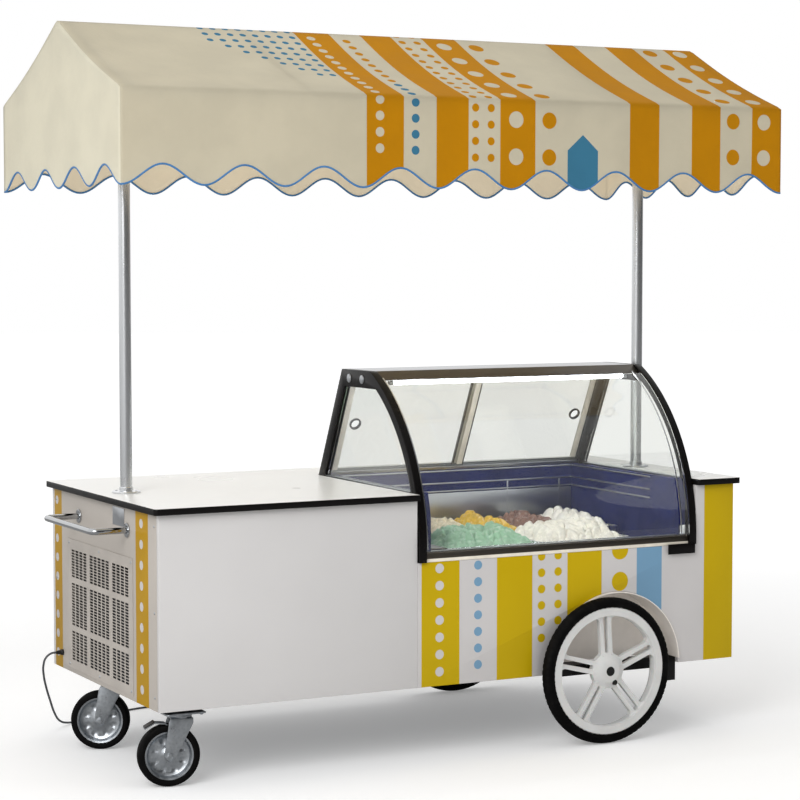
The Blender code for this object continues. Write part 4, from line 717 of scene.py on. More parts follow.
def frozen(flavour):
    """Ice cream, spatula-worked and frozen: soft inside, finely crystalline, glossy where it starts to melt."""
    made, tree, shader = new_finish(
        "ice cream " + flavour,
        {"IOR": 1.35, "Subsurface Weight": 0.06, "Subsurface Scale": 0.003, "Subsurface Radius": (1.0, 0.8, 0.5)},
    )
    place, colour, bump = enliven(tree, shader, shade(flavour), 0.20, 0.016, (0.42, 0.72), 0.0030, 0.0012)
    streaks = add_node(
        tree, "TexNoise", {"Scale": 38.0, "Detail": 4.0, "Distortion": 1.6}, {"Vector": place}
    )
    amount = add_node(
        tree, "MapRange", {"From Min": 0.52, "From Max": 0.72, "To Min": 0.0, "To Max": 0.45}, {"Value": streaks}
    )
    pale = tuple(0.55 + 0.45 * part for part in getattr(colours(), flavour))
    mixed = add_node(tree, "Mix", {"data_type": "RGBA", 7: (*pale, 1.0)}, {0: amount, 6: colour})
    tree.links.new(mixed.outputs[2], shader.inputs["Base Color"])
    return made


MAKERS = {
    "laminate": laminate,
    "edge_band": edge_band,
    "board": lacquered_board,
    "front_print": lambda: printed_film("printed film, front", "X", FRONT_BANDS, FRONT_DOTS),
    "end_print": lambda: printed_film("printed film, handle end", "Y", END_BANDS, END_DOTS),
    "black_coat": lambda: powder_coat("black powder coat", "black"),
    "beige_coat": lambda: powder_coat("beige powder coat", "beige"),
    # The arches' pale coat is painted light for their shaded recess
    "arch_coat": lambda: powder_coat("pale powder coat", "arch"),
    "enamel": black_enamel,
    "stainless": stainless,
    "chrome": chrome,
    "anodised": anodised,
    # A darker copy of the anodised aluminium; on the rails' front faces it is painted shade
    "dark_anodised": dark_anodised,
    "zinc": zinc,
    "glass": float_glass,
    "acrylic": acrylic,
    "nylon": nylon,
    "rubber": rubber,
    "navy": navy_liner,
    "moulded_black": moulded_black,
    "sheath": lambda: pvc_sheath("grey PVC sheath", "sheath"),
    # The stiles' cream is their own colour, partly painted light
    "stile_cream_painted_light": lambda: pvc_sheath("cream PVC profile", "stile_cream_painted_light"),
    "black_pvc": lambda: pvc_sheath("black PVC moulding", "black"),
    "condenser": condenser,
    "lamp": lamp_diffuser,
    "cloth": canopy_cloth,
    "piping": piping_tape,
    **{flavour: (lambda f=flavour: frozen(f)) for flavour in FLAVOURS},
}
MADE = {}


def material(name):
    """The cart's material of that name, made the first time that it is asked for."""
    if name not in MADE:
        MADE[name] = MAKERS[name]()
    return MADE[name]


# Shapes


def hold(name, mesh, materials, body="cart", replaces=(), angle=35):
    """Makes a piece from a mesh, rides it on a body and lets it stand for the frame's own nodes."""
    data = bpy.data.meshes.new(name)
    mesh.to_mesh(data)
    mesh.free()
    for entry in materials:
        data.materials.append(material(entry))
    data.shade_smooth()
    data.set_sharp_from_angle(angle=math.radians(angle))
    made = bpy.data.objects.new(name, data)
    bpy.context.scene.collection.objects.link(made)
    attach(made, body)
    if replaces:
        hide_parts(*replaces)
    return made


def dress(node, name):
    """Gives one of the frame's own nodes its finish."""
    slots = NODES[node].material_slots
    for slot in slots:
        slot.material = material(name)
    if not slots:
        NODES[node].data.materials.append(material(name))


def joined(*meshes):
    """Several meshes in one, each kept as it is."""
    out = bmesh.new()
    for mesh in meshes:
        data = bpy.data.meshes.new("piece")
        mesh.to_mesh(data)
        mesh.free()
        out.from_mesh(data)
        bpy.data.meshes.remove(data)
    return out


def tinted(mesh, index):
    """The mesh with all its faces in one material slot."""
    for face in mesh.faces:
        face.material_index = index
    return mesh


def moved(mesh, matrix):
    """The mesh moved by a matrix, still with its faces outwards if the matrix mirrors."""
    bmesh.ops.transform(mesh, verts=mesh.verts, matrix=matrix)
    if matrix.determinant() < 0:
        bmesh.ops.reverse_faces(mesh, faces=mesh.faces)
    return mesh


def placed(axis, first, second, along):
    """A point whose two outline values lie across the axis and whose last value lies along it."""
    return {"X": (along, first, second), "Y": (first, along, second), "Z": (first, second, along)}[axis]


def outwards(mesh):
    """The mesh with its faces turned outwards."""
    bmesh.ops.recalc_face_normals(mesh, faces=mesh.faces)
    return mesh


def skin(mesh, rings, closed=True):
    """Faces from each ring of points to the next; an open ring isn't joined from its last point to its first."""
    for this, following in zip(rings, rings[1:]):
        for i in range(len(this) if closed else len(this) - 1):
            j = (i + 1) % len(this)
            mesh.faces.new((this[i], this[j], following[j], following[i]))


def prism(outline, axis, low, high):
    """A closed prism over an outline."""
    mesh = bmesh.new()
    ends = [[mesh.verts.new(placed(axis, a, b, at)) for a, b in outline] for at in (low, high)]
    for ring in ends:
        mesh.faces.new(ring)
    skin(mesh, ends)
    return outwards(mesh)


def block(low, high, edge=0.0):
    """A block between two corners, with its edges rounded."""
    outline = [(low[0], low[1]), (high[0], low[1]), (high[0], high[1]), (low[0], high[1])]
    mesh = prism(outline, "Z", low[2], high[2])
    return rounded(mesh, edge) if edge else mesh


def rounded(mesh, width, segments=2, angle=30):
    """Rounds the sharp edges of a mesh, once flat faces are whole again."""
    bmesh.ops.remove_doubles(mesh, verts=mesh.verts, dist=0.00001)
    bmesh.ops.dissolve_limit(mesh, angle_limit=math.radians(1), verts=mesh.verts, edges=mesh.edges)
    sharp = [e for e in mesh.edges if len(e.link_faces) == 2 and e.calc_face_angle(0) > math.radians(angle)]
    bmesh.ops.bevel(
        mesh, geom=sharp, offset=width, segments=segments, profile=0.5, affect="EDGES", clamp_overlap=True
    )
    return mesh


def turned(profile, axis, centre, sides):
    """A solid turned round an axis. The profile is a closed loop of radius and place along the axis."""
    mesh = bmesh.new()
    rings = []
    for radius, along in profile:
        if radius == 0:
            rings.append([mesh.verts.new(placed(axis, 0, 0, along))])
            continue
        angles = [2 * math.pi * k / sides for k in range(sides)]
        rings.append([mesh.verts.new(placed(axis, radius * math.cos(a), radius * math.sin(a), along)) for a in angles])
    loops = rings if profile[0][0] == 0 else rings + [rings[0]]
    for this, following in zip(loops, loops[1:]):
        for i in range(sides):
            j = (i + 1) % sides
            corners = [this[i % len(this)], this[j % len(this)]]
            corners += [following[j % len(following)], following[i % len(following)]]
            unique = list(dict.fromkeys(corners))
            if len(unique) > 2:
                mesh.faces.new(unique)
    bmesh.ops.translate(mesh, verts=mesh.verts, vec=centre)
    return outwards(mesh)


def disc(axis, centre, radius, low, high, edge, sides=32):
    """A short round solid with its outer edges rounded, such as a cap, washer or button."""
    low, high = min(low, high), max(low, high)
    profile = [(0, low), (radius - edge, low)]
    profile += [(radius - edge * (1 - math.sin(a)), low + edge * (1 - math.cos(a))) for a in (0.5, 1.05)]
    profile += [(radius, low + edge), (radius, high - edge)]
    profile += [(radius - edge * (1 - math.cos(a)), high - edge * (1 - math.sin(a))) for a in (0.5, 1.05)]
    profile += [(radius - edge, high), (0, high)]
    return turned(profile, axis, centre, sides)


def hexagon(axis, centre, radius, low, high):
    """A nut or bolt head with its corners eased."""
    ease = math.copysign(radius / 8, high - low)
    profile = [(0, low), (radius, low), (radius, high - ease), (radius * 0.86, high), (0, high)]
    return turned(profile, axis, centre, 6)


def swept(points, radius, sides=16, closed=False):
    """A round bar along a run of points, turned as little as possible from one to the next."""
    points = [Vector(p) for p in points]
    count = len(points)
    mesh = bmesh.new()
    rings = []
    side = None
    for i, point in enumerate(points):
        before = points[i - 1] if closed or i else point
        after = points[(i + 1) % count] if closed or i < count - 1 else point
        along = (after - before).normalized()
        if side is None:
            side = along.cross(Vector((0, 0, 1)))
            side = side if side.length > 0.1 else along.cross(Vector((0, 1, 0)))
        side = (side - along * side.dot(along)).normalized()
        up = along.cross(side)
        angles = [2 * math.pi * k / sides for k in range(sides)]
        rings.append([mesh.verts.new(point + radius * (side * math.cos(a) + up * math.sin(a))) for a in angles])
    skin(mesh, rings + rings[:1] if closed else rings)
    if not closed:
        mesh.faces.new(rings[0])
        mesh.faces.new(rings[-1])
    return outwards(mesh)


def rounded_outline(points, radii, steps=5):
    """An outline with its corners rounded; a corner whose radius is zero stays sharp."""
    out = []
    for i, (x, y) in enumerate(points):
        size = radii[i] if isinstance(radii, (list, tuple)) else radii
        if size == 0:
            out.append((x, y))
            continue
        here = Vector((x, y))
        to_before = (Vector(points[i - 1]) - here).normalized()
        to_after = (Vector(points[(i + 1) % len(points)]) - here).normalized()
        half = to_before.angle(to_after) / 2
        reach = size / math.tan(half)
        centre = here + (to_before + to_after).normalized() * (size / math.sin(half))
        start, end = here + to_before * reach - centre, here + to_after * reach - centre
        sweep = start.angle_signed(end)
        for k in range(steps + 1):
            out.append(tuple(centre + Matrix.Rotation(-sweep * k / steps, 2) @ start))
    return out


def carved(mesh, cutter, operation="DIFFERENCE"):
    """A mesh with another one cut out of it, or joined to it."""
    objects = []
    for part in (mesh, cutter):
        data = bpy.data.meshes.new("carving")
        part.to_mesh(data)
        part.free()
        objects.append(bpy.data.objects.new("carving", data))
        bpy.context.scene.collection.objects.link(objects[-1])
    step = objects[0].modifiers.new("carve", "BOOLEAN")
    step.object, step.operation, step.solver = objects[1], operation, "EXACT"
    bpy.context.view_layer.update()
    evaluated = objects[0].evaluated_get(bpy.context.evaluated_depsgraph_get())
    result = bpy.data.meshes.new_from_object(evaluated)
    out = bmesh.new()
    out.from_mesh(result)
    for made in objects:
        bpy.data.objects.remove(made, do_unlink=True)
    bpy.data.meshes.remove(result)
    return out


def softened(name, node, width, materials, choose=None, segments=2):
    """The frame's own shape with its edges rounded as the real one's are, standing for the node."""
    mesh = bmesh.new()
    mesh.from_mesh(NODES[node].data)
    rounded(mesh, width, segments)
    for face in mesh.faces:
        face.material_index = choose(face) if choose else 0
    return hold(name, mesh, materials, body_of(NODES[node])[0], (node,))


def screw_head(axis, centre, radius, rise):
    """A domed screw head with a cross slot pressed in it; rise is signed along the axis."""
    steps = [(radius * math.cos(a), rise * math.sin(a)) for a in (0.0, 0.5, 1.0)]
    profile = [(0, 0)] + steps + [(radius * 0.30, rise), (radius * 0.22, rise * 0.5), (0, rise * 0.5)]
    return turned(profile, axis, centre, 20)


# Stage: pale floor, soft lamps and the camera

CAMERA_PLACE = (-3.7685, -7.241, 1.701)
CAMERA_YAW = 27.601
CAMERA_PITCH = 3.684
CAMERA_LENS = 104.26
ROOM_LIGHT = 0.56


class CART_OT_stage(bpy.types.Operator):
    """Make the floor, the soft lamps and the camera"""

    bl_idname = "cart.stage"
    bl_label = "Stage"

    def execute(self, context):
        scene = context.scene
        scene.view_settings.view_transform = "Standard"
        lens = bpy.data.cameras.new("camera")
        lens.lens = CAMERA_LENS
        camera = bpy.data.objects.new("camera", lens)
        camera.location = CAMERA_PLACE
        camera.rotation_euler = (math.radians(90 - CAMERA_PITCH), 0, -math.radians(CAMERA_YAW))
        scene.collection.objects.link(camera)
        scene.camera = camera
        mesh = bmesh.new()
        bmesh.ops.create_circle(mesh, cap_ends=True, segments=64, radius=40)
        data = bpy.data.meshes.new("floor")
        mesh.to_mesh(data)
        mesh.free()
        data.materials.append(pale_floor())
        floor = bpy.data.objects.new("floor", data)
        floor.location.z = -0.0005
        scene.collection.objects.link(floor)
        floor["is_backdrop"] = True
        soft_lamp("key_lamp", (-5.0, -4.2, 4.4), (0, 0, 1.0), 4.6, 260)
        soft_lamp("fill_lamp", (5.2, -4.8, 2.6), (0.2, 0, 0.9), 3.0, 30).visible_glossy = False
        soft_lamp("top_lamp", (0.4, 1.2, 6.0), (0.2, 0, 1.0), 4.0, 45)
        bright_room(scene)
        return {"FINISHED"}


def pale_floor():
    """A smooth pale sweep of paper: it keeps the object's shadow near by and is plain white farther off."""
    made, tree, shader = new_finish("pale paper sweep", {"Roughness": 0.9})
    tree.links.new(by_ray(tree, 0.92, 0.40, 0.92).outputs[0], shader.inputs["Base Color"])
    spot = add_node(tree, "NewGeometry")
    away = add_node(tree, "VectorMath", {"operation": "LENGTH"}, {0: spot.outputs["Position"]})
    reach = {"From Min": 2.2, "From Max": 6.5, "To Min": 0.22, "To Max": 0.53}
    level = add_node(tree, "MapRange", reach, {"Value": away.outputs["Value"]})
    glow = add_node(tree, "Math", {"operation": "MULTIPLY"}, {0: level, 1: by_ray(tree, 0.0, 0.12)})
    shader.inputs["Emission Color"].default_value = (1, 1, 1, 1)
    tree.links.new(glow.outputs[0], shader.inputs["Emission Strength"])
    return made


def soft_lamp(name, place, target, size, power):
    lamp = bpy.data.lights.new(name, "AREA")
    lamp.shape, lamp.size, lamp.energy = "DISK", size, power
    made = bpy.data.objects.new(name, lamp)
    made.location = place
    made.rotation_euler = (Vector(target) - Vector(place)).to_track_quat("-Z", "Y").to_euler()
    bpy.context.scene.collection.objects.link(made)
    return made


def by_ray(tree, spread, mirrored, direct=1.0):
    """How bright a thing is for light that spreads, in a mirror, and for the eye, straight or through glass."""
    path = add_node(tree, "LightPath")
    eye = {0: path.outputs["Is Camera Ray"], 1: path.outputs["Is Transmission Ray"]}
    seen = add_node(tree, "Math", {"operation": "MAXIMUM"}, eye)
    glossy = path.outputs["Is Glossy Ray"]
    if isinstance(mirrored, float):
        level = add_node(tree, "Mix", {2: spread, 3: mirrored}, {0: glossy})
    else:
        level = add_node(tree, "Mix", {2: spread}, {0: glossy, 3: mirrored})
    return add_node(tree, "Mix", {3: direct}, {0: seen, 2: level})


def bright_room(scene):
    """A pale room: white to the eye, lighting at a plain level, and in mirrors bright behind the object.

    The customer's right is dark in mirrors, so that the bent glass stays clear.
    """
    world = bpy.data.worlds.new("pale room")
    scene.world = world
    world.use_nodes = True
    tree = world.node_tree
    tree.nodes.clear()
    heading = add_node(tree, "TexCoord").outputs["Generated"]
    behind = add_node(tree, "VectorMath", {"operation": "DOT_PRODUCT", 1: (-0.50, 0.80, 0.33)}, {0: heading})
    shown = {"From Min": -0.7, "From Max": 0.5, "To Min": 0.05, "To Max": 1.1}
    mirrored = add_node(tree, "MapRange", shown, {"Value": behind.outputs["Value"]})
    room = add_node(tree, "Background", {"Color": (1, 1, 1, 1)}, {"Strength": by_ray(tree, ROOM_LIGHT, mirrored)})
    add_node(tree, "OutputWorld", links={"Surface": room})


# Mains lead


def coil_points():
    """The lead's turns: in each layer one ring inside the other, then up a diameter to the next layer."""
    cx, cy = COIL_CENTRE
    keys = []
    outer, level, start = True, 0, 0.0
    for _ in range(COIL_LAYERS):
        here, there = (1, -1) if outer else (-1, 1)
        keys += [(start, here, level), (start + 0.72, here, level), (start + 0.88, there, level)]
        keys += [(start + 1.60, there, level)]
        outer, level, start = not outer, level + 1, start + 1.75
    keys[0] = (0.0, 1, 0)
    last_here = keys[-1][1]
    keys[-1] = (start - 0.36, last_here, level - 1)
    keys += [(start - 0.11, 0.0, level + 0.52), (start, 0.0, level + 0.54)]
    points = []
    steps = int(COIL_PER_TURN * (start - 0.09))
    for k in range(1, steps + 1):
        turn = (start - 0.09) * k / steps
        for (t0, s0, z0), (t1, s1, z1) in zip(keys, keys[1:]):
            if t0 <= turn <= t1:
                share = (turn - t0) / (t1 - t0)
                ease = share * share * (3 - 2 * share)
                side, height = s0 + (s1 - s0) * ease, z0 + (z1 - z0) * ease
        radius = COIL_RADIUS + side * TURN_PITCH / 2
        angle = 2 * math.pi * (turn - 0.25)
        rise = CORD_REST + height * TURN_PITCH
        points.append((cx + radius * math.cos(angle), cy + radius * math.sin(angle), rise))
    return points


class CART_OT_mains_lead(bpy.types.Operator):
    """Make the mains lead with its gland, coil, tie and plug"""

    bl_idname = "cart.mains_lead"
    bl_label = "Mains lead"

    def execute(self, context):
        points = [*CORD_ROUTE, *coil_points()]
        line = bpy.data.curves.new("mains_lead", "CURVE")
        line.dimensions = "3D"
        line.resolution_u = 6
        line.bevel_depth = CORD_DIAMETER / 2
        line.bevel_resolution = 4
        line.use_fill_caps = True
        run = line.splines.new("BEZIER")
        run.bezier_points.add(len(points) - 1)
        for spot, point in zip(run.bezier_points, points):
            spot.co = point
            spot.handle_left_type = spot.handle_right_type = "AUTO"
        line.materials.append(material("sheath"))
        lead = bpy.data.objects.new("mains_lead", line)
        context.scene.collection.objects.link(lead)
        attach(lead, "cart")
        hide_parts("cord", "cord_coil")
        gland = hold("lead_gland", gland_shape(), ["black_pvc"], "cart", ("cord_gland",))
        plug = hold("lead_plug", plug_shape(*points[-2:]), ["black_pvc", "chrome"], "cart", ("cord_plug",))
        tie = hold("lead_tie", tie_shape(), ["black_pvc"])
        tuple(CORD_ROUTE[0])
        return {"FINISHED"}


def gland_shape():
    """A threaded gland with a flat-sided cap and a tapered, ribbed sleeve for the lead."""
    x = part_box("cord_gland")[1][0]
    _, y, z = CORD_ROUTE[0]
    tip = CORD_ROUTE[0][0] + 0.0003
    cap = hexagon("X", (0, y, z), 0.0108, x, x - 0.009)
    profile = [(0, x - 0.008), (0.0085, x - 0.008)]
    ribs = 5
    for k in range(ribs):
        near = x - 0.009 - (x - 0.009 - tip) * k / ribs
        wide = 0.0082 - 0.0028 * k / ribs
        profile += [(wide, near), (wide, near - 0.0018), (wide - 0.0010, near - 0.0021)]
    profile += [(0.0050, tip), (0, tip)]
    return joined(cap, turned(profile, "X", (0, y, z), 24))


def plug_shape(before, start):
    """A flat moulded plug: a ribbed tail that bends with the lead, then the body and three round pins in line."""
    x, y, z = start
    tail, body, pin, steps = 0.026, 0.040, 0.012, 12
    turn = math.atan2(start[1] - before[1], start[0] - before[0])
    bend = tail / abs(turn)
    rings = []
    for k in range(steps + 1):
        share = k / steps
        heading = turn * (1 - share)
        along = bend * (math.sin(abs(turn)) - math.sin(abs(heading)))
        across = -bend * (math.cos(heading) - math.cos(turn))
        wide = 0.0045 + 0.0017 * share - (0.0006 if k % 2 else 0)
        rings.append((along, across, heading, wide, wide))
    x_body, y_body = rings[-1][0], rings[-1][1]
    for ahead, wide, high in ((0.008, 0.0112, 0.0072), (0.014, 0.0126, 0.0080), (body - 0.003, 0.0128, 0.0080)):
        rings.append((x_body + ahead, y_body, 0, wide, high))
    rings.append((x_body + body, y_body, 0, 0.0118, 0.0070))
    mesh = bmesh.new()
    loops = []
    for along, across, heading, wide, high in rings:
        loop = []
        power = 0.55 if wide > 0.007 else 1.0
        for k in range(28):
            a = 2 * math.pi * k / 28
            out = math.copysign(abs(math.cos(a)) ** power, math.cos(a)) * wide
            up = math.copysign(abs(math.sin(a)) ** power, math.sin(a)) * high
            spot = (x + along - out * math.sin(heading), y + across + out * math.cos(heading), z + up)
            loop.append(mesh.verts.new(spot))
        loops.append(loop)
    skin(mesh, loops)
    mesh.faces.new(loops[0])
    mesh.faces.new(loops[-1])
    pins = []
    face = x + x_body + body
    for side in (-1, 0, 1):
        centre = (0, y + y_body + side * 0.0080, z)
        pins.append(tinted(disc("X", centre, 0.0020, face - 0.001, face + pin, 0.0008, 16), 1))
    return joined(outwards(mesh), *pins)


def tie_shape():
    """A soft tie wrapped once round all the turns."""
    cx, cy = COIL_CENTRE
    half = TURN_PITCH + TIE_SHEET
    top = CORD_REST + TURN_PITCH * (COIL_LAYERS - 1) + CORD_DIAMETER / 2 + TIE_SHEET
    outline = [(-half, 0.0004), (half, 0.0004), (half, top), (-half, top)]
    outer = rounded_outline(outline, 0.0030)
    inner = [(a * (1 - 0.0009 / half), 0.0004 + 0.0009 + (b - 0.0004) * (1 - 2 * 0.0009 / top)) for a, b in outer]
    mesh = bmesh.new()
    rings = []
    for line, at in ((outer, -TIE_HALF), (outer, TIE_HALF), (inner, TIE_HALF), (inner, -TIE_HALF)):
        rings.append([mesh.verts.new((cx + COIL_RADIUS + a, cy + at, b)) for a, b in line])
    skin(mesh, rings + rings[:1])
    return outwards(mesh)


# Body: worktop, panels, chassis and the seller's doors


class CART_OT_body(bpy.types.Operator):
    """Make the worktop, the panels, the wheel arches, the chassis and the seller's storage doors"""

    bl_idname = "cart.body"
    bl_label = "Body and chassis"

    def execute(self, context):
        edge = sizes().edge
        softened("worktop_board", "worktop", edge, ["laminate", "edge_band"], lambda f: 0 if f.normal.z > 0.9 else 1, 3)
        softened("panel_front_left", "front_panel_plain", edge, ["board"])
        softened("panel_front_printed", "front_panel_striped", edge, ["front_print"])
        softened("panel_handle_end", "end_panel_handle", edge * 0.5, ["end_print"])
        softened("panel_back", "back_panel", edge * 0.6, ["board"])
        softened("panel_far_end", "end_panel_far", edge * 0.5, ["beige_coat"])
        for side in ("left", "right"):
            softened("store_door_" + side, "storage_door_" + side, edge * 0.5, ["board", "stainless"], is_hardware)
        dress("storage_liner", "board")
        dress("floor_panel", "zinc")
        softened("chassis_rails", "chassis", edge, ["black_coat"])
        for side in ("front", "back"):
            softened("axle_bar_" + side, "axle_bracket_" + side, edge, ["black_coat"])
            arch_liner(side)
        body_screws()
        return {"FINISHED"}


def is_hardware(face):
    """Hinges and pulls stand proud of the seller's panel, and are steel."""
    return 1 if face.calc_center_median().y > BODY_Y + 0.0004 else 0


def arch_liner(place):
    """A wheel arch of coated sheet: a smooth barrel open towards the wheel, in a near-white coat that is painted light.
    """
    side = -1 if place == "front" else 1
    low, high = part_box("wheel_arch_" + place)
    centre_x, radius = (low.x + high.x) / 2, (high.x - low.x) / 2
    face, deep = side * BODY_Y, side * (BODY_Y - (high.y - low.y))
    wall, foot = ARCH_WALL, low.z
    angles = [math.pi * k / 48 for k in range(49)]
    outer = [(radius, foot)] + [(radius * math.cos(a), WHEEL_RADIUS + radius * math.sin(a)) for a in angles]
    outer = [(x, z) for x, z in outer if z >= foot] + [(-radius, foot)]
    sections = ((deep, 1.0), (face, 1.0), (face, 1 - wall / radius), (deep + side * wall, 1 - wall / radius))
    mesh = bmesh.new()
    rings = [
        [
            mesh.verts.new(
                (centre_x + x * share, y, max(WHEEL_RADIUS + (z - WHEEL_RADIUS) * share, foot) if z > foot else foot)
            )
            for x, z in outer
        ]
        for y, share in sections
    ]
    skin(mesh, rings, closed=False)
    mesh.faces.new(rings[0])
    mesh.faces.new(rings[-1])
    for end in (0, -1):
        mesh.faces.new([ring[end] for ring in rings])
    mesh.faces.new([rings[0][0], rings[0][-1], rings[-1][-1], rings[-1][0]])
    hold("arch_" + place, outwards(mesh), ["arch_coat"], "cart", ("wheel_arch_" + place,))


def body_screws():
    """Domed screws that hold the handle end's corner posts."""
    heads = []
    x = BODY_X - 0.0004
    for y in PANEL_SCREWS[0]:
        for z in PANEL_SCREWS[1]:
            heads.append(screw_head("X", (x, y, z), 0.0045, -0.0016))
    hold("panel_screws", joined(*heads), ["zinc"])


# Handle end: push handle, grille and what shows through it


class CART_OT_handle_end(bpy.types.Operator):
    """Make the push handle, the slotted grille and the condenser behind it"""

    bl_idname = "cart.handle_end"
    bl_label = "Handle end"

    def execute(self, context):
        hold("push_handle", handle_shape(), ["chrome"], "cart", ("handle",))
        hold("handle_screws", handle_screws(), ["zinc"])
        hold("handle_plate", handle_plate(), ["anodised"])
        hold("grille_plate", grille_shape(), ["beige_coat"], "cart", ("grille",), 50)
        hold("grille_screws", grille_screws(), ["zinc"])
        dress("compressor_block", "condenser")
        return {"FINISHED"}


def handle_shape():
    """One tube bent square at two corners, with a welded flange at each foot."""
    bar_x = BODY_X - HANDLE_REACH + HANDLE_TUBE - 0.0003
    foot_x = BODY_X - 0.0015
    corners = [(foot_x, HANDLE_SPREAD), (bar_x, HANDLE_SPREAD), (bar_x, -HANDLE_SPREAD), (foot_x, -HANDLE_SPREAD)]
    path = rounded_outline(corners, (0, HANDLE_BEND, HANDLE_BEND, 0), 14)
    tube = swept([(x, y, HANDLE_HEIGHT) for x, y in path], HANDLE_TUBE, 28)
    flanges = []
    for side in (-1, 1):
        centre = (0, side * HANDLE_SPREAD, HANDLE_HEIGHT)
        flanges.append(disc("X", centre, HANDLE_FLANGE, BODY_X - 0.0003, BODY_X - 0.0043, 0.0012, 40))
    return joined(tube, *flanges)


def handle_screws():
    """Three screws through each flange."""
    heads = []
    for side in (-1, 1):
        for k in range(3):
            angle = math.radians(90 + 120 * k)
            y = side * HANDLE_SPREAD + HANDLE_SCREW_RING * math.cos(angle)
            z = HANDLE_HEIGHT + HANDLE_SCREW_RING * math.sin(angle)
            heads.append(screw_head("X", (BODY_X - 0.0043, y, z), 0.0032, -0.0014))
    return joined(*heads)


def handle_plate():
    """A small blank plate behind the handle."""
    return block((BODY_X - 0.0016, *HANDLE_PLATE[0]), (BODY_X - 0.0003, *HANDLE_PLATE[1]), 0.0005)


def pierced(mesh, low_y, high_y, low_z, high_z, x, slot_y, slot_z):
    """One cell of sheet with a round-ended slot at its middle."""
    cy, cz = (low_y + high_y) / 2, (low_z + high_z) / 2
    half_y, half_z = slot_y / 2, slot_z / 2
    corners = [(low_y, low_z), (cy, low_z), (high_y, low_z), (high_y, cz)]
    corners += [(high_y, high_z), (cy, high_z), (low_y, high_z), (low_y, cz)]
    bend = half_z * 0.7
    hole = [(-half_y + bend, -half_z), (0, -half_z), (half_y - bend, -half_z), (half_y, 0)]
    hole += [(half_y - bend, half_z), (0, half_z), (-half_y + bend, half_z), (-half_y, 0)]
    outer = [mesh.verts.new((x, y, z)) for y, z in corners]
    inner = [mesh.verts.new((x, cy + y, cz + z)) for y, z in hole]
    for i in range(8):
        j = (i + 1) % 8
        mesh.faces.new((outer[i], outer[j], inner[j], inner[i]))


def grille_shape():
    """Pressed sheet with three by three fields of slots, the middle row of fields the tallest."""
    low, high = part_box("grille")
    x = high.x
    margin, foot, bar, pitch = 0.034, 0.029, 0.018, 0.0101
    rows = fields(low.z + foot, high.z - margin, bar, (0.295, 0.425, 0.28), pitch)
    columns = fields(low.y + margin, high.y - margin, 0.024, (0.31, 0.38, 0.31), 0.0385)
    mesh = bmesh.new()
    for bottom, upper, count in rows:
        for left, right, number in columns:
            step_y, step_z = (right - left) / number, (upper - bottom) / count
            for i in range(number):
                for k in range(count):
                    cell = (left + i * step_y, left + (i + 1) * step_y, bottom + k * step_z, bottom + (k + 1) * step_z)
                    pierced(mesh, *cell, x, step_y * 0.88, step_z * 0.74)
    across = grid_lines(low.y, high.y, columns)
    up = grid_lines(low.z, high.z, rows)
    fill_frame(mesh, x, across, up)
    bmesh.ops.remove_doubles(mesh, verts=mesh.verts, dist=0.00005)
    bmesh.ops.recalc_face_normals(mesh, faces=mesh.faces)
    bmesh.ops.solidify(mesh, geom=mesh.faces, thickness=-0.0018)
    width = [v.co.x for v in mesh.verts]
    bmesh.ops.translate(mesh, verts=mesh.verts, vec=(high.x - max(width), 0, 0))
    return mesh


def fields(low, high, bar, parts, pitch):
    """Where each field of slots starts and ends along one side, and how many slots it holds there."""
    free = high - low - bar * (len(parts) - 1)
    out = []
    for part in parts:
        out.append((low, low + free * part, round(free * part / pitch)))
        low += free * part + bar
    return out


def grid_lines(low, high, spans):
    """Places of the lines of the sheet along one side, each with whether a field starts there."""
    lines = [(low, False)]
    for start, end, count in spans:
        step = (end - start) / count / 2
        lines += [(start + i * step, True) for i in range(2 * count)] + [(end, False)]
    return lines + [(high, False)]


def fill_frame(mesh, x, across, up):
    """Closes the plain sheet round the fields, on the same lines, so that it is one sheet with them."""
    for (y0, field_y), (y1, _) in zip(across, across[1:]):
        for (z0, field_z), (z1, _) in zip(up, up[1:]):
            if field_y and field_z:
                continue
            mesh.faces.new([mesh.verts.new((x, y, z)) for y, z in ((y0, z0), (y1, z0), (y1, z1), (y0, z1))])


def grille_screws():
    low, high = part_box("grille")
    heads = []
    for y in (low.y + 0.014, (low.y + high.y) / 2, high.y - 0.014):
        for z in (low.z + 0.014, high.z - 0.014):
            heads.append(screw_head("X", (high.x - 0.0018, y, z), 0.0046, -0.0018))
    return joined(*heads)


# Running gear


class CART_OT_running_gear(bpy.types.Operator):
    """Make the big wheels and the casters"""

    bl_idname = "cart.running_gear"
    bl_label = "Wheels and casters"

    def execute(self, context):
        for side, place in ((-1, "front"), (1, "back")):
            body = "wheel_" + place
            centre = (WHEEL_X, side * WHEEL_Y, WHEEL_RADIUS)
            hold("wheel_casting_" + place, wheel_shape(centre), ["nylon"], body, ("wheel_rim_" + place,), 40)
            hold("wheel_cap_" + place, wheel_cap(centre, side), ["moulded_black", "nylon"], body)
            hold("tyre_" + place, tyre_shape(centre), ["rubber"], body, ("wheel_tyre_" + place,), 28)
        for place in CASTERS:
            caster(place)
        return {"FINISHED"}


def wheel_window(start):
    """One large opening between two pairs of spokes, with filleted corners."""
    side = SPOKE_SLOT / 2 + SPOKE
    outer = RIM_RADIUS - RIM_RING
    pitch = 2 * math.pi / SPOKE_PAIRS
    points, radii = [], []
    for radius, steps, forward, fillet in ((outer, 8, True, 0.016), (WINDOW_INNER, 4, False, 0.010)):
        lean = math.asin(side / radius)
        angles = [start + lean + (pitch - 2 * lean) * k / steps for k in range(steps + 1)]
        for k, angle in enumerate(angles if forward else reversed(angles)):
            points.append((radius * math.cos(angle), radius * math.sin(angle)))
            radii.append(fillet if k in (0, steps) else 0)
    return rounded_outline(points, radii, 6)


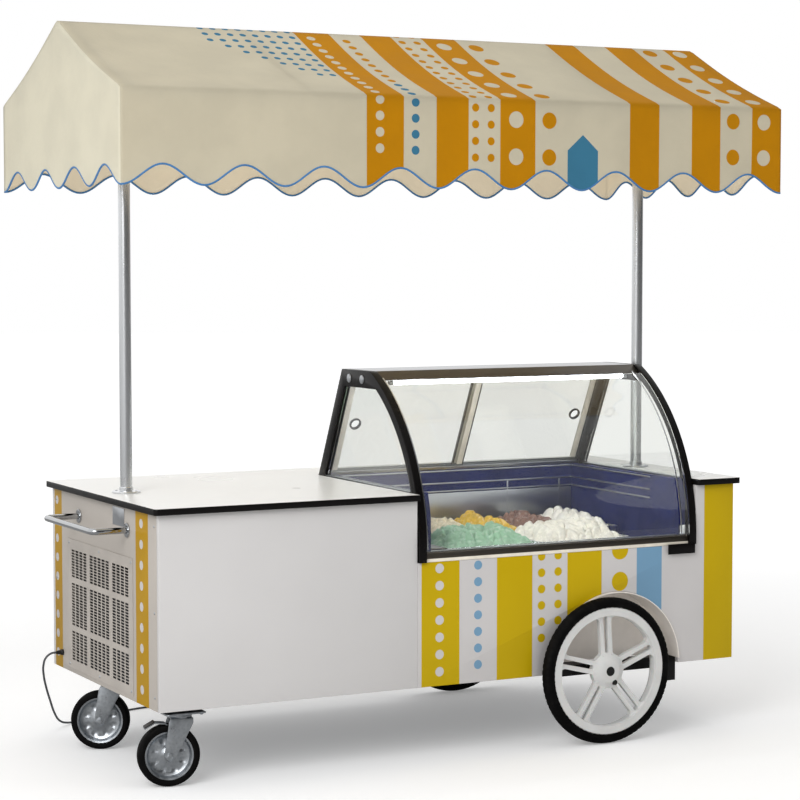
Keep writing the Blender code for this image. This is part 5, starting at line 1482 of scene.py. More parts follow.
def wheel_slot(angle):
    """The narrow slot between the two spokes of a pair, round at its ends and a little wider at the rim."""
    inner, outer = WINDOW_INNER, RIM_RADIUS - RIM_RING
    half, flare = SPOKE_SLOT / 2, SPOKE_SLOT / 2 + 0.002
    corners = [(inner, -half), (outer, -flare), (outer, flare), (inner, half)]
    outline = rounded_outline(corners, (half * 0.9, flare * 0.9, flare * 0.9, half * 0.9), 5)
    turn = Matrix.Rotation(angle, 2)
    return [tuple(turn @ Vector(corner)) for corner in outline]


def wheel_shape(centre):
    """A moulded wheel: deep felloe, five pairs of round-edged spokes and a stepped hub with short ribs."""
    ring, web, hub = RIM_WIDTH / 2, WEB / 2, HUB_WIDTH / 2
    inner = RIM_RADIUS - RIM_RING
    profile = [(BORE, -hub), (HUB_RADIUS - 0.005, -hub), (HUB_RADIUS, -hub + 0.003)]
    fillet = ((0.006, 0.012), (0.013, 0.0065), (0.020, 0.0025), (0.027, 0))
    profile += [(HUB_RADIUS + r, -web - rise) for r, rise in fillet]
    profile += [(inner - 0.004, -web), (inner, -web - 0.003), (inner + 0.002, -ring)]
    profile += [(RIM_RADIUS - 0.003, -ring), (RIM_RADIUS, -ring + 0.003)]
    profile += [(r, -a) for r, a in reversed(profile)]
    wheel = turned(profile, "Y", centre, 120)
    cutters = []
    for k in range(SPOKE_PAIRS):
        angle = math.radians(90 + SPOKE_TILT) + 2 * math.pi * k / SPOKE_PAIRS
        for outline in (wheel_window(angle), wheel_slot(angle)):
            spot = [(centre[0] + a, centre[2] + b) for a, b in outline]
            cutters.append(prism(spot, "Y", centre[1] - 2 * WEB, centre[1] + 2 * WEB))
    wheel = carved(wheel, joined(*cutters))
    crisp = [
        e
        for e in wheel.edges
        if len(e.link_faces) == 2
        and e.calc_face_angle(0) > math.radians(60)
        and abs(abs(e.verts[0].co.y - centre[1]) - web) < 0.0008
        and abs(abs(e.verts[1].co.y - centre[1]) - web) < 0.0008
    ]
    bmesh.ops.bevel(wheel, geom=crisp, offset=0.0036, segments=3, profile=0.5, affect="EDGES", clamp_overlap=True)
    ribs = []
    for k in range(2 * SPOKE_PAIRS):
        angle = math.radians(90 + SPOKE_TILT + 18) + 2 * math.pi * k / (2 * SPOKE_PAIRS)
        turn = Matrix.Translation(centre) @ Matrix.Rotation(-angle, 4, "Y")
        for face in (-1, 1):
            low, high = sorted((face * (web - 0.002), face * (web + 0.006)))
            rib = block((HUB_RADIUS + 0.004, low, -0.0022), (HUB_RADIUS + 0.021, high, 0.0022), 0.0009)
            ribs.append(moved(rib, turn))
    return joined(wheel, *ribs)


def wheel_cap(centre, side):
    """A black cap over the axle's end, and the valve-like knob beside the hub."""
    out = side * (HUB_WIDTH / 2)
    ends = (out - side * 0.004, out + side * 0.0009)
    cap = disc("Y", centre, 0.0165, ends[0], ends[1], 0.0009, 40)
    knob_centre = (centre[0] + 0.0195, centre[1], centre[2] - 0.0405)
    knob = disc("Y", knob_centre, 0.0095, out - side * 0.012, out - side * 0.0005, 0.001, 24)
    return joined(cap, knob)


def tyre_shape(centre):
    """A solid tyre: round crown, and small blocks moulded into both shoulders."""
    seat = RIM_RADIUS + 0.0003
    crown = WHEEL_RADIUS - seat
    blocks = sizes().tread
    sides = blocks * 4
    mesh = bmesh.new()
    rings = []
    profile = [(seat, -TYRE_WIDTH / 2 + 0.002)]
    for k in range(15):
        angle = math.pi * (k + 0.6) / 15.2
        profile.append((seat + crown * math.sin(angle) ** 0.55, -TYRE_WIDTH / 2 * math.cos(angle)))
    profile.append((seat, TYRE_WIDTH / 2 - 0.002))
    for radius, along in profile:
        share = abs(along) / (TYRE_WIDTH / 2)
        ring = []
        for i in range(sides):
            cut = TREAD_CUT if (i % 4) == 0 and 0.35 < share < 0.93 else 0.0
            angle = 2 * math.pi * i / sides
            lift = radius - cut
            ring.append(mesh.verts.new((lift * math.cos(angle), along * (1 - cut * 12), lift * math.sin(angle))))
        rings.append(ring)
    skin(mesh, rings + rings[:1])
    bmesh.ops.translate(mesh, verts=mesh.verts, vec=centre)
    return outwards(mesh)


def caster(place):
    """One swivel caster: its plate on the chassis, its fork, and its wheel."""
    x, y, turn = CASTERS[place]
    spot = Matrix.Translation((x, y, 0)) @ Matrix.Rotation(math.radians(-turn), 4, "Z")
    low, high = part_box("caster_plate_" + place)
    bolts = []
    softened("caster_top_" + place, "caster_plate_" + place, 0.0010, ["zinc"])
    for bolt_x in (low.x + 0.013, high.x - 0.013):
        for bolt_y in (low.y + 0.013, high.y - 0.013):
            bolts.append(hexagon("Z", (bolt_x, bolt_y, 0), 0.0062, low.z, low.z - 0.0045))
    hold("caster_bolts_" + place, joined(*bolts), ["zinc"])
    fork = joined(*[moved(part, spot) for part in fork_shapes(place == "front")])
    hold("caster_frame_" + place, fork, ["zinc", "moulded_black"], "caster_" + place, ("caster_fork_" + place,))
    wheel = "caster_%s_wheel" % place
    hold("caster_disc_" + place, moved(caster_disc(), spot), ["zinc"], wheel, ("caster_rim_" + place,))
    hold("caster_tread_" + place, moved(caster_tread(), spot), ["rubber"], wheel, ("caster_tyre_" + place,))


def fork_shapes(braked):
    """The pressed fork about its swivel axis: two arms, crown, raceway and axle, and a brake lever if it has one."""
    axle = (-CASTER_TRAIL, 0, CASTER_RADIUS)
    sheet, inside = CASTER_SHEET * 0.7, CASTER_INSIDE
    crown = CASTER_CROWN
    outline = [(CASTER_HEAD, crown), (CASTER_HEAD, crown - 0.016), (axle[0] + 0.018, CASTER_RADIUS - 0.006)]
    outline += [(axle[0], CASTER_RADIUS - 0.018), (axle[0] - 0.018, CASTER_RADIUS)]
    outline += [(-CASTER_HEAD - 0.006, crown - 0.012), (-CASTER_HEAD, crown)]
    arm = rounded_outline(outline, (0.002, 0.010, 0.012, 0.015, 0.012, 0.006, 0.002), 5)
    parts = []
    for side in (-1, 1):
        ends = sorted((side * inside, side * (inside + sheet)))
        parts.append(rounded(prism(arm, "Y", *ends), 0.0008, 2))
        start = side * (inside + sheet)
        parts.append(hexagon("Y", axle, 0.0095, start, start + side * 0.0055))
        parts.append(disc("Y", axle, 0.0120, *sorted((start, start + side * 0.0014)), 0.0004, 28))
    bridge = block((-CASTER_HEAD, -inside - sheet, crown - sheet), (CASTER_HEAD, inside + sheet, crown), 0.0012)
    parts.append(bridge)
    head = [(0, crown - 0.0005), (CASTER_HEAD - 0.004, crown - 0.0005), (CASTER_HEAD, crown + 0.004)]
    head += [(CASTER_HEAD, crown + 0.009), (CASTER_HEAD - 0.003, CASTER_HEAD_TOP), (0, CASTER_HEAD_TOP)]
    parts.append(turned(head, "Z", (0, 0, 0), 40))
    parts.append(hexagon("Z", (0, 0, 0), 0.010, crown - sheet, crown - sheet - 0.006))
    parts.append(turned([(0, -inside), (CASTER_BOLT, -inside), (CASTER_BOLT, inside), (0, inside)], "Y", axle, 20))
    if braked:
        path = [(-0.030, 0.186), (-0.052, 0.203), (-0.086, 0.206), (-0.104, 0.196), (-0.118, 0.188)]
        thick = 0.0022
        outline = [(x, z + thick) for x, z in path] + [(x, z - thick) for x, z in reversed(path)]
        lever = rounded(prism(outline, "Y", -0.017, 0.017), 0.0008, 2)
        pad = [(x, z + 0.0062) for x, z in path[-3:]] + [(x, z + 0.0018) for x, z in reversed(path[-3:])]
        parts.append(lever)
        parts.append(tinted(rounded(prism(pad, "Y", -0.019, 0.019), 0.0012, 2), 1))
    return parts


def caster_disc():
    """A pressed disc with a ring of round dimples, a deep felloe and a hub."""
    centre = (-CASTER_TRAIL, 0, CASTER_RADIUS)
    bore, hub, hub_radius = CASTER_BOLT + 0.0006, CASTER_INSIDE - 0.0004, 0.017
    half, rim = CASTER_WIDTH / 2 - 0.004, CASTER_RIM
    steps = [(hub_radius, 0.0125), (0.026, 0.0075), (0.038, 0.0048), (0.058, 0.0052), (0.066, 0.0085)]
    steps += [(0.0705, 0.0150), (0.0725, half)]
    profile = [(bore, -hub), (hub_radius - 0.003, -hub), (hub_radius, -hub + 0.003)]
    profile += [(r, -a) for r, a in steps] + [(rim, -half - 0.0015), (rim, half + 0.0015)]
    profile += [(r, a) for r, a in reversed(steps)]
    profile += [(hub_radius, hub - 0.003), (hub_radius - 0.003, hub), (bore, hub)]
    mesh = turned(profile, "Y", (0, 0, 0), 80)
    bmesh.ops.subdivide_edges(
        mesh,
        edges=[e for e in mesh.edges if 0.024 < Vector((e.verts[0].co.x, e.verts[0].co.z)).length < 0.068],
        cuts=2,
        use_grid_fill=True,
    )
    for vertex in mesh.verts:
        for k in range(DIMPLES):
            angle = 2 * math.pi * k / DIMPLES + 0.4
            x, z = DIMPLE_RING * math.cos(angle), DIMPLE_RING * math.sin(angle)
            away = math.hypot(vertex.co.x - x, vertex.co.z - z)
            if away < DIMPLE_RADIUS and abs(vertex.co.y) < 0.014:
                share = 1 - (away / DIMPLE_RADIUS) ** 2
                vertex.co.y -= math.copysign(DIMPLE_DEPTH * share, vertex.co.y)
    bmesh.ops.translate(mesh, verts=mesh.verts, vec=centre)
    return outwards(mesh)


def caster_tread():
    """A grey-black elastic tyre with a round shoulder and a step where it meets the disc."""
    seat, half = CASTER_RIM + 0.0003, CASTER_WIDTH / 2
    profile = [(seat, -half + 0.001), (0.0825, -half), (0.0900, -half), (0.0950, -half + 0.0012)]
    profile += [(0.0982, -half + 0.0045), (CASTER_RADIUS, -half + 0.010), (CASTER_RADIUS, 0.0)]
    profile += [(r, -a) for r, a in reversed(profile[:-1])]
    return turned(profile, "Y", (-CASTER_TRAIL, 0, CASTER_RADIUS), 96)


# Glass case: end frames, panes, rails, lamp and sliding doors


class CART_OT_glass_case(bpy.types.Operator):
    """Make the curved glass case and its sliding doors"""

    bl_idname = "cart.glass_case"
    bl_label = "Glass case"

    def execute(self, context):
        for side in ("left", "right"):
            end_frame(side)
            side_pane(side)
        front_pane()
        # Painted shade: the roof rail's front faces take the darker copy of the aluminium
        softened("case_roof_rail", "case_top_rail", 0.0012, ["anodised", "dark_anodised"], is_shaded_front_face)
        softened("case_lower_track", "case_track_low", 0.0005, ["anodised"])
        softened("case_upper_track", "case_track_high", 0.0005, ["anodised"])
        sill()
        lamp()
        case_trim()
        for side in ("left", "right"):
            sliding_door(side)
        return {"FINISHED"}


def is_shaded_front_face(face):
    """Painted shade: the rails' front faces take a darker copy of the aluminium, and what lies flat the bright one."""
    return 1 if face.normal.y < -0.3 else 0


def arc_point(radius, angle):
    return (CASE_ARC - BODY_Y - radius * math.cos(angle), CASE_ARC_HEIGHT + radius * math.sin(angle))


def frame_outline(front, top, back, foot):
    """The frame's outline in Y and Z, drawn in by the width of each band, from the front foot round to the back."""
    radius = CASE_ARC - front
    first = math.asin(max(foot - CASE_ARC_HEIGHT, 0) / radius)
    last = math.asin((CASE_TOP - top - CASE_ARC_HEIGHT) / radius)
    points = [] if foot > CASE_ARC_HEIGHT else [(front - BODY_Y, foot)]
    points += [arc_point(radius, first + (last - first) * k / 40) for k in range(41)]
    run, fall = CASE_BACK - CASE_BACK_TOP, CASE_TOP - TOP_HEIGHT
    shift = back * math.hypot(run, fall) / fall
    points.append((CASE_BACK_TOP - shift + top * run / fall, CASE_TOP - top))
    if foot > TOP_HEIGHT:
        points.append((CASE_BACK - shift - (foot - TOP_HEIGHT) * run / fall, foot))
    else:
        points += [(CASE_BACK - shift, TOP_HEIGHT), (CASE_BACK - shift, foot)]
    return points


def window_outline(inset, foot):
    """The glazed opening of an end frame, its corners eased."""
    front, top, back = (band + inset for band in FRAME_BANDS)
    points = frame_outline(front, top, back, TOP_HEIGHT + foot + inset)
    corners = [points[0], *points[-3:]]
    kept = [p for p in points if p in corners or min(math.dist(p, corner) for corner in corners) > 0.013]
    return rounded_outline(kept, [0.008 if p in corners else 0 for p in kept], 4)


def end_frame(side):
    """A black enamelled frame cut from one plate, with its edges rounded, and the slim channel under its glass."""
    low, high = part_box("case_end_" + side)
    outer = prism(frame_outline(0, 0, 0, low.z), "X", low.x, high.x)
    frame = carved(outer, prism(window_outline(0, 0.0002), "X", low.x - 0.01, high.x + 0.01))
    hold("case_frame_" + side, rounded(frame, 0.0022, 3), ["enamel"], "cart", ("case_end_" + side,), 40)
    under = block((low.x - 0.01, -BODY_Y, TOP_HEIGHT), (high.x + 0.01, BODY_Y, TOP_HEIGHT + FRAME_FOOT))
    bar = carved(prism(window_outline(0.0003, 0.0), "X", low.x + 0.0005, high.x - 0.0005), under, "INTERSECT")
    hold("case_foot_" + side, rounded(bar, 0.0008, 2), ["anodised"])


def side_pane(side):
    low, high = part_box("case_glass_" + side)
    pane_mesh = prism(window_outline(0.0004, FRAME_FOOT), "X", low.x, high.x)
    hold("case_pane_" + side, rounded(pane_mesh, 0.0005, 1), ["glass"], "cart", ("case_glass_" + side,), 40)


def front_pane():
    """The bent pane, an even sheet along its arc."""
    low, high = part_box("case_glass_front")
    outer = CASE_ARC - GLASS_INSET
    inner = outer - GLASS
    first = math.asin(max(low.z - CASE_ARC_HEIGHT, 0) / inner)
    last = math.asin((high.z - CASE_ARC_HEIGHT) / outer)
    angles = [first + (last - first) * k / 56 for k in range(57)]
    outline = [arc_point(outer, a) for a in angles] + [arc_point(inner, a) for a in reversed(angles)]
    mesh = prism(outline, "X", low.x, high.x)
    bmesh.ops.remove_doubles(mesh, verts=mesh.verts, dist=0.00001)
    hold("case_pane_front", mesh, ["glass"], "cart", ("case_glass_front",), 40)


def sill():
    """The extrusion under the glass, its front painted shade, over a cream bead, with a gasket where the pane stands in
    it.
    """
    softened("case_sill_rail", "case_sill", 0.0014, ["anodised", "dark_anodised"], is_shaded_front_face)
    low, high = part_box("case_sill")
    left, right = low.x + 0.001, high.x - 0.001
    bead = block((left, low.y - 0.0008, low.z + 0.0004), (right, low.y + 0.001, low.z + 0.0114), 0.0006)
    hold("case_bead", bead, ["stile_cream_painted_light"])
    gasket = block((left, low.y + 0.0022, high.z - 0.0004), (right, low.y + 0.0105, high.z + 0.0022), 0.0006)
    hold("case_gasket", gasket, ["black_pvc"])


def lamp():
    """The lamp tube with its two end caps."""
    low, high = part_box("case_lamp")
    radius = (high.z - low.z) / 2 * 0.98
    centre = (0, (low.y + high.y) / 2, (low.z + high.z) / 2)
    tube = disc("X", centre, radius, low.x + 0.018, high.x - 0.018, 0.0008, 24)
    ends = ((low.x, low.x + 0.0178), (high.x - 0.0178, high.x))
    caps = [tinted(disc("X", centre, radius, start, end, 0.0010, 24), 1) for start, end in ends]
    hold("case_lamp_tube", joined(tube, *caps), ["lamp", "anodised"], "cart", ("case_lamp",))


def case_trim():
    """Bright edge strips and a bracket along the glass, two round buttons, and the blank plate under the sill."""
    low_left, high_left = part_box("case_end_left")
    low_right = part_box("case_end_right")[0]
    strips = []
    for x in (high_left.x + 0.0004, low_right.x - 0.0370):
        outer, inner = CASE_ARC - 0.0002, CASE_ARC - GLASS_INSET + 0.0003
        angles = [0.03 + 1.0 * k / 44 for k in range(45)]
        outline = [arc_point(outer, a) for a in angles] + [arc_point(inner, a) for a in reversed(angles)]
        strips.append(prism(outline, "X", x, x + 0.0040))
    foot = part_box("case_glass_front")[0]
    near = (low_right.x - 0.030, foot.y + 0.0064, foot.z + 0.002)
    strips.append(block(near, (low_right.x - 0.006, foot.y + 0.011, foot.z + 0.034), 0.001))
    hold("case_edge_strips", joined(*strips), ["stainless"])
    buttons = []
    for y in BUTTONS_Y:
        buttons.append(disc("X", (0, y, BUTTONS_Z), 0.0150, low_left.x - 0.0030, low_left.x + 0.001, 0.0009, 36))
        buttons.append(disc("X", (0, y, BUTTONS_Z), 0.0095, low_left.x - 0.0042, low_left.x - 0.0026, 0.0004, 28))
    hold("case_buttons", joined(*buttons), ["anodised"])
    front = -BODY_Y - 0.0004
    (left, foot), (right, top) = FRONT_PLATE
    plate = block((left, front - 0.0040, foot), (right, front, top), 0.0010)
    hold("front_plate", plate, ["enamel"])


def sliding_door(side):
    """An acrylic sheet between two cream stiles, one with a black edge, and with a ringed finger hole."""
    node = "slide_door_" + side
    body = body_of(NODES[node])[0]
    low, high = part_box(node)
    run, rise = CASE_BACK_TOP - CASE_BACK, CASE_TOP - TOP_HEIGHT
    lean = Vector((0, run, rise)).normalized()
    out = Vector((0, rise, -run)).normalized()
    thick = DOOR_SHEET
    foot = Vector((0, high.y - out.y * thick, 0))
    length = (high.z - low.z - abs(out.z) * thick) / lean.z
    frame = Matrix(((1, 0, 0, 0), (0, lean.y, out.y, foot.y), (0, lean.z, out.z, low.z), (0, 0, 0, 1)))
    hole_x = low.x + DOOR_HOLE_INSET if side == "left" else high.x - DOOR_HOLE_INSET
    hole = [(0, -thick), (DOOR_HOLE, -thick), (DOOR_HOLE, 2 * thick), (0, 2 * thick)]
    sheet = carved(block((low.x, 0, 0), (high.x, length, thick)), turned(hole, "Z", (hole_x, length / 2, 0), 48))
    hold("door_sheet_" + side, moved(sheet, frame), ["acrylic"], body, (node,), 20)
    strips = []
    for x, seal_x in ((low.x, low.x), (high.x - DOOR_STILE, high.x - DOOR_SEAL)):
        for at in (-0.0013, thick + 0.0001):
            for start, end, slot in ((x, x + DOOR_STILE, 0), (seal_x, seal_x + DOOR_SEAL, 1)):
                rise_at = at + slot * math.copysign(0.0006, at)
                corner = (end - 0.0006, length - 0.014, rise_at + 0.0012)
                strip = block((start + 0.0006, 0.014, rise_at), corner, 0.0004)
                strips.append(moved(tinted(strip, slot), frame))
    for at in (-0.0014, thick):
        ring = [(DOOR_HOLE + 0.0003, at), (DOOR_HOLE + 0.0060, at), (DOOR_HOLE + 0.0060, at + 0.0008)]
        ring += [(DOOR_HOLE + 0.0042, at + 0.0014), (DOOR_HOLE + 0.0003, at + 0.0014)]
        strips.append(moved(tinted(turned(ring, "Z", (hole_x, length / 2, 0), 40), 1), frame))
    hold("door_trim_" + side, joined(*strips), ["stile_cream_painted_light", "moulded_black"], body)


# Cold well, pans and ice cream


class CART_OT_cold_well(bpy.types.Operator):
    """Make the cold well, its pans and the ice cream in them"""

    bl_idname = "cart.cold_well"
    bl_label = "Cold well"

    def execute(self, context):
        softened("well_liner", "cold_well", 0.0012, ["navy"])
        well_trim()
        for number, place in enumerate(pan_places()):
            heap(FLAVOURS[number], place)
        hold("pan_set", pan_shapes(), ["stainless"], "cart", ("pans",), 40)
        return {"FINISHED"}


def pan_places():
    """The low and high X and Y of each pan, in the order of the flavours."""
    places = []
    for flavour in FLAVOURS:
        low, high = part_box("ice_cream_" + flavour)
        places.append((low.x - PAN_RIM, high.x + PAN_RIM, low.y - PAN_RIM, high.y + PAN_RIM))
    return places


def well_trim():
    """Bright rails round the well's walls, a steel skirt at the foot of the back one, and two ribs on it."""
    low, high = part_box("cold_well")
    lip = [block((low.x + 0.033, high.y - 0.0316, 0.703), (high.x - 0.033, high.y - 0.0303, 0.808), 0.0005)]
    for z in WELL_RAILS:
        lip.append(block((low.x + 0.032, high.y - 0.0335, z), (high.x - 0.032, high.y - 0.0303, z + 0.005), 0.0008))
        for x in (low.x + 0.0303, high.x - 0.0335):
            lip.append(block((x, -0.300, z), (x + 0.0032, high.y - 0.034, z + 0.005), 0.0008))
    for x in WELL_RIBS:
        lip.append(block((x, high.y - 0.0318, 0.724), (x + 0.006, high.y - 0.0303, 0.841), 0.0005))
    left, end = low.x + 0.0306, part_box("pans")[0].x
    far = (end - 0.001, high.y - 0.0325, DECK_HEIGHT + 0.0002)
    sheet = block((left, -0.442, DECK_HEIGHT - 0.0017), far, 0.0005)
    bars = []
    for y in DECK_BARS:
        bars.append(block((left + 0.0034, y, DECK_HEIGHT), (end - 0.004, y + 0.004, DECK_HEIGHT + 0.002), 0.0005))
    hold("well_rails", joined(*lip, tinted(sheet, 1), *bars), ["anodised", "dark_anodised"])


def pan_shapes():
    """Deep-drawn pans: open trays with round corners and a rolled rim, joined as one piece."""
    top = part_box("pans")[1].z
    parts = []
    for x0, x1, y0, y1 in pan_places():
        sections = (
            (0.0, -0.0010, 0.008), (0.0012, 0.0, 0.009), (0.0036, 0.0, 0.010), (0.0052, -0.0012, 0.011),
            (0.0058, -0.0040, 0.012), (0.0060, -0.0200, 0.014), (0.0075, -0.1300, 0.020), (0.0180, -0.1485, 0.026),
        )
        rings = []
        mesh = bmesh.new()
        for inset, depth, radius in sections:
            left, right = x0 - PAN_RIM + inset, x1 + PAN_RIM - inset
            near, far = y0 - PAN_RIM + inset, y1 + PAN_RIM - inset
            corners = [(left, near), (right, near), (right, far), (left, far)]
            outline = rounded_outline(corners, radius, 6)
            rings.append([mesh.verts.new((x, y, top + depth)) for x, y in outline])
        skin(mesh, rings)
        mesh.faces.new(rings[-1])
        bmesh.ops.solidify(outwards(mesh), geom=mesh.faces, thickness=PAN_SHEET)
        parts.append(mesh)
    return joined(*parts)


def heap(flavour, place):
    """Ice cream heaped with a spade: lumps with deep seams between them, ridges that lean one way, and crumbs."""
    x0, x1, y0, y1 = place
    x0, x1, y0, y1 = x0 + HEAP_INSET, x1 - HEAP_INSET, y0 + HEAP_INSET, y1 - HEAP_INSET
    low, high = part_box("ice_cream_" + flavour)
    seed = FLAVOURS.index(flavour) * 17.3
    columns = max(int((x1 - x0) / HEAP_STEP), 8)
    rows = max(int((y1 - y0) / HEAP_STEP), 8)
    top, base = high.z, HEAP_BASE
    mesh = bmesh.new()
    grid = []
    for i in range(columns + 1):
        line = []
        for j in range(rows + 1):
            u, v = i / columns, j / rows
            x, y = x0 + (x1 - x0) * u, y0 + (y1 - y0) * v
            edge = min(x - x0, x1 - x, y - y0, y1 - y)
            body = min(max((edge - 0.004) / 0.070, 0), 1)
            body = math.sin(body * math.pi / 2) * (0.80 + 0.20 * v)
            spot = Vector((x * 9 + seed, y * 9, seed))
            warp = Vector((noise.noise(spot * 2.2), noise.noise(spot * 2.2 + Vector((7, 3, 1))), 0)) * 0.7
            near, following = noise.voronoi(Vector((x, y, 0)) / LUMP + warp + Vector((seed, 0, seed)))[0][:2]
            lump = 1 - min(near, 1) ** 2
            seam = math.exp(-9 * (following - near))
            ridge = abs(math.sin(y * 60 + x * 25 + 2.4 * warp.x + seed))
            fold = 0.84 + 0.24 * noise.noise(spot * 1.9)
            crease = sizes().crease * (1.3 * seam + 0.6 * (1 - ridge) ** 2.5)
            crumb = 0.0030 * noise.noise(Vector((x * 110, y * 110, seed)))
            z = base + body * ((top - base - 0.018) * fold + 0.024 * lump) + min(body * 2, 1) * (crumb - crease)
            line.append(mesh.verts.new((x, y, max(min(z, top), base - 0.004))))
        grid.append(line)
    for i in range(columns):
        for j in range(rows):
            mesh.faces.new((grid[i][j], grid[i + 1][j], grid[i + 1][j + 1], grid[i][j + 1]))
    rim = [grid[i][0] for i in range(columns)] + [grid[columns][j] for j in range(rows)]
    rim += [grid[i][rows] for i in range(columns, 0, -1)] + [grid[0][j] for j in range(rows, 0, -1)]
    bottom = [mesh.verts.new((v.co.x, v.co.y, low.z)) for v in rim]
    for k in range(len(rim)):
        following = (k + 1) % len(rim)
        mesh.faces.new((rim[k], rim[following], bottom[following], bottom[k]))
    mesh.faces.new(bottom)
    hold("heap_" + flavour, outwards(mesh), [flavour], "cart", ("ice_cream_" + flavour,), 60)


# Canopy: posts, frame, cloth and piping


class CART_OT_canopy(bpy.types.Operator):
    """Make the posts, the tube frame and the printed cloth"""

    bl_idname = "cart.canopy"
    bl_label = "Canopy"

    def execute(self, context):
        for side in ("left", "right"):
            post(side)
        dress("canopy_frame", "anodised")
        cloth = hold("canopy_cloth", cloth_shape(), ["cloth"], "cart", ("canopy_fabric",), 180)
        piping = hold("canopy_piping", piping_shape(), ["piping"], "cart", (), 60)
        return {"FINISHED"}


def post(side):
    """A polished tube in a spun flange with a chamfered collar, held by four screws."""
    low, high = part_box("post_" + side)
    x = (low.x + high.x) / 2
    foot, collar, wide, tube = low.z, low.z + POST_COLLAR, POST_FLANGE, POST_TUBE
    profile = [(0, foot), (wide - 0.0008, foot), (wide, foot + 0.0008), (wide, collar - 0.0022)]
    profile += [(wide - 0.0022, collar), (tube + 0.0060, collar), (tube + 0.0036, collar + 0.0016)]
    profile += [(tube + 0.0030, collar + 0.012), (tube + 0.0014, collar + 0.0138), (tube, collar + 0.0140)]
    profile += [(tube, high.z - 0.0010), (tube - 0.0010, high.z), (0, high.z)]
    mesh = turned(profile, "Z", (x, 0, 0), 56)
    heads = []
    for k in range(4):
        angle = math.radians(45 + 90 * k)
        spot = (x + POST_SCREW_RING * math.cos(angle), POST_SCREW_RING * math.sin(angle), collar)
        heads.append(tinted(screw_head("Z", spot, 0.0042, 0.0018), 1))
    hold("canopy_post_" + side, joined(mesh, *heads), ["stainless", "zinc"], "cart", ("post_" + side,))


def roof_height(y, x):
    """Ridge to eave with a shallow sag, a rounded ridge, and a soft billow between the rafters."""
    share = min(abs(y) / CANOPY_Y, 1.0)
    z = RIDGE_HEIGHT + (EAVE_HEIGHT - RIDGE_HEIGHT) * share - ROOF_SAG * math.sin(math.pi * share)
    stations = (-CANOPY_X, -RAFTER_X, RAFTER_X, CANOPY_X)
    for left, right in zip(stations, stations[1:]):
        if left <= x <= right:
            bay = math.sin(math.pi * (x - left) / (right - left))
            z -= 0.0045 * bay * math.sin(math.pi * share) ** 0.8 if 0 < share < 1 else 0
    ridge = 0.012
    if abs(y) < ridge:
        slope = (RIDGE_HEIGHT - EAVE_HEIGHT + math.pi * ROOF_SAG) / CANOPY_Y
        z -= slope * (ridge - abs(y)) ** 2 / (2 * ridge)
    return z


def hem_height(share, waves):
    return HEM_HEIGHT - HEM_WAVE * math.cos(2 * math.pi * waves * share)


def fade(share, rate):
    """Nothing at either end of a side, and all of it where that side is well under way."""
    return min(min(share, 1 - share) * rate, 1.0)


def ripple(along, down, seed):
    """How far a hanging valance stands in or out: nothing at the eave, most at the hem."""
    slow = noise.noise(Vector((along * 2.1, seed, 0)))
    quick = noise.noise(Vector((along * 6.5, seed, 3.7)))
    return sizes().fold * down * down * (0.9 * slow + 0.5 * quick)


def cloth_shape():
    """The whole cloth as one sheet with one thickness of cloth: slopes, valances and gables share their edges."""
    across, down, along = 26, 22, 248
    steps = [CANOPY_Y * k / across for k in range(across + 1)]
    columns = [-CANOPY_X + 2 * CANOPY_X * k / along for k in range(along + 1)]
    mesh = bmesh.new()
    layer = mesh.loops.layers.uv.new("flat")
    slope = math.hypot(CANOPY_Y, RIDGE_HEIGHT - EAVE_HEIGHT)
    eave = 0.010
    flat = {}

    def vertex(x, y, z, u, v):
        made = mesh.verts.new((x, y, z))
        flat[made] = (u, v)
        return made

    lines = []
    for x in columns:
        share = (x + CANOPY_X) / (2 * CANOPY_X)
        line = []
        for side in (-1, 1):
            half = []
            for k, y in enumerate(steps):
                reach = min(y, CANOPY_Y - 0.0002)
                z = roof_height(reach, x)
                near = max(0.0, (y - (CANOPY_Y - eave)) / eave)
                z -= 0.0032 * near * near
                wrinkle = 0.0010 * noise.noise(Vector((x * 5, y * 9, side * 2.0))) * math.sin(math.pi * y / CANOPY_Y)
                half.append((side * y, z - abs(wrinkle), slope * y / CANOPY_Y))
            for k in range(1, down + 1):
                part = k / down
                top = EAVE_HEIGHT - 0.0034
                z = top + (hem_height(share, LONG_WAVES) - top) * part
                inward = abs(ripple(x, part, side * LONG_SEED)) + 0.0004 if 0.004 < share < 0.996 else 0.0
                inward *= fade(share, LONG_FADE)
                half.append((side * (CANOPY_Y - inward), z, slope + (EAVE_HEIGHT - z)))
            line.append(half)
        lines.append(line)
    grid = []
    for x, (front, back) in zip(columns, lines):
        row = [vertex(x, y, z, x, v) for y, z, v in reversed(front)]
        row += [vertex(x, y, z, x, v) for y, z, v in back[1:]]
        grid.append(row)
    for this, following in zip(grid, grid[1:]):
        for j in range(len(this) - 1):
            mesh.faces.new((this[j], following[j], following[j + 1], this[j + 1]))
    for number, row in ((0, grid[0]), (along, grid[-1])):
        gable(mesh, row, columns[number], down, vertex)
    bmesh.ops.recalc_face_normals(mesh, faces=mesh.faces)
    for face in mesh.faces:
        for loop in face.loops:
            loop[layer].uv = flat[loop.vert]
    end_faces = [f for f in mesh.faces if abs(f.calc_center_median().x) > CANOPY_X - 0.02 and abs(f.normal.x) > 0.7]
    for face in end_faces:
        for loop in face.loops:
            loop[layer].uv = (2.0 + loop.vert.co.y, RIDGE_HEIGHT - loop.vert.co.z)
    return mesh


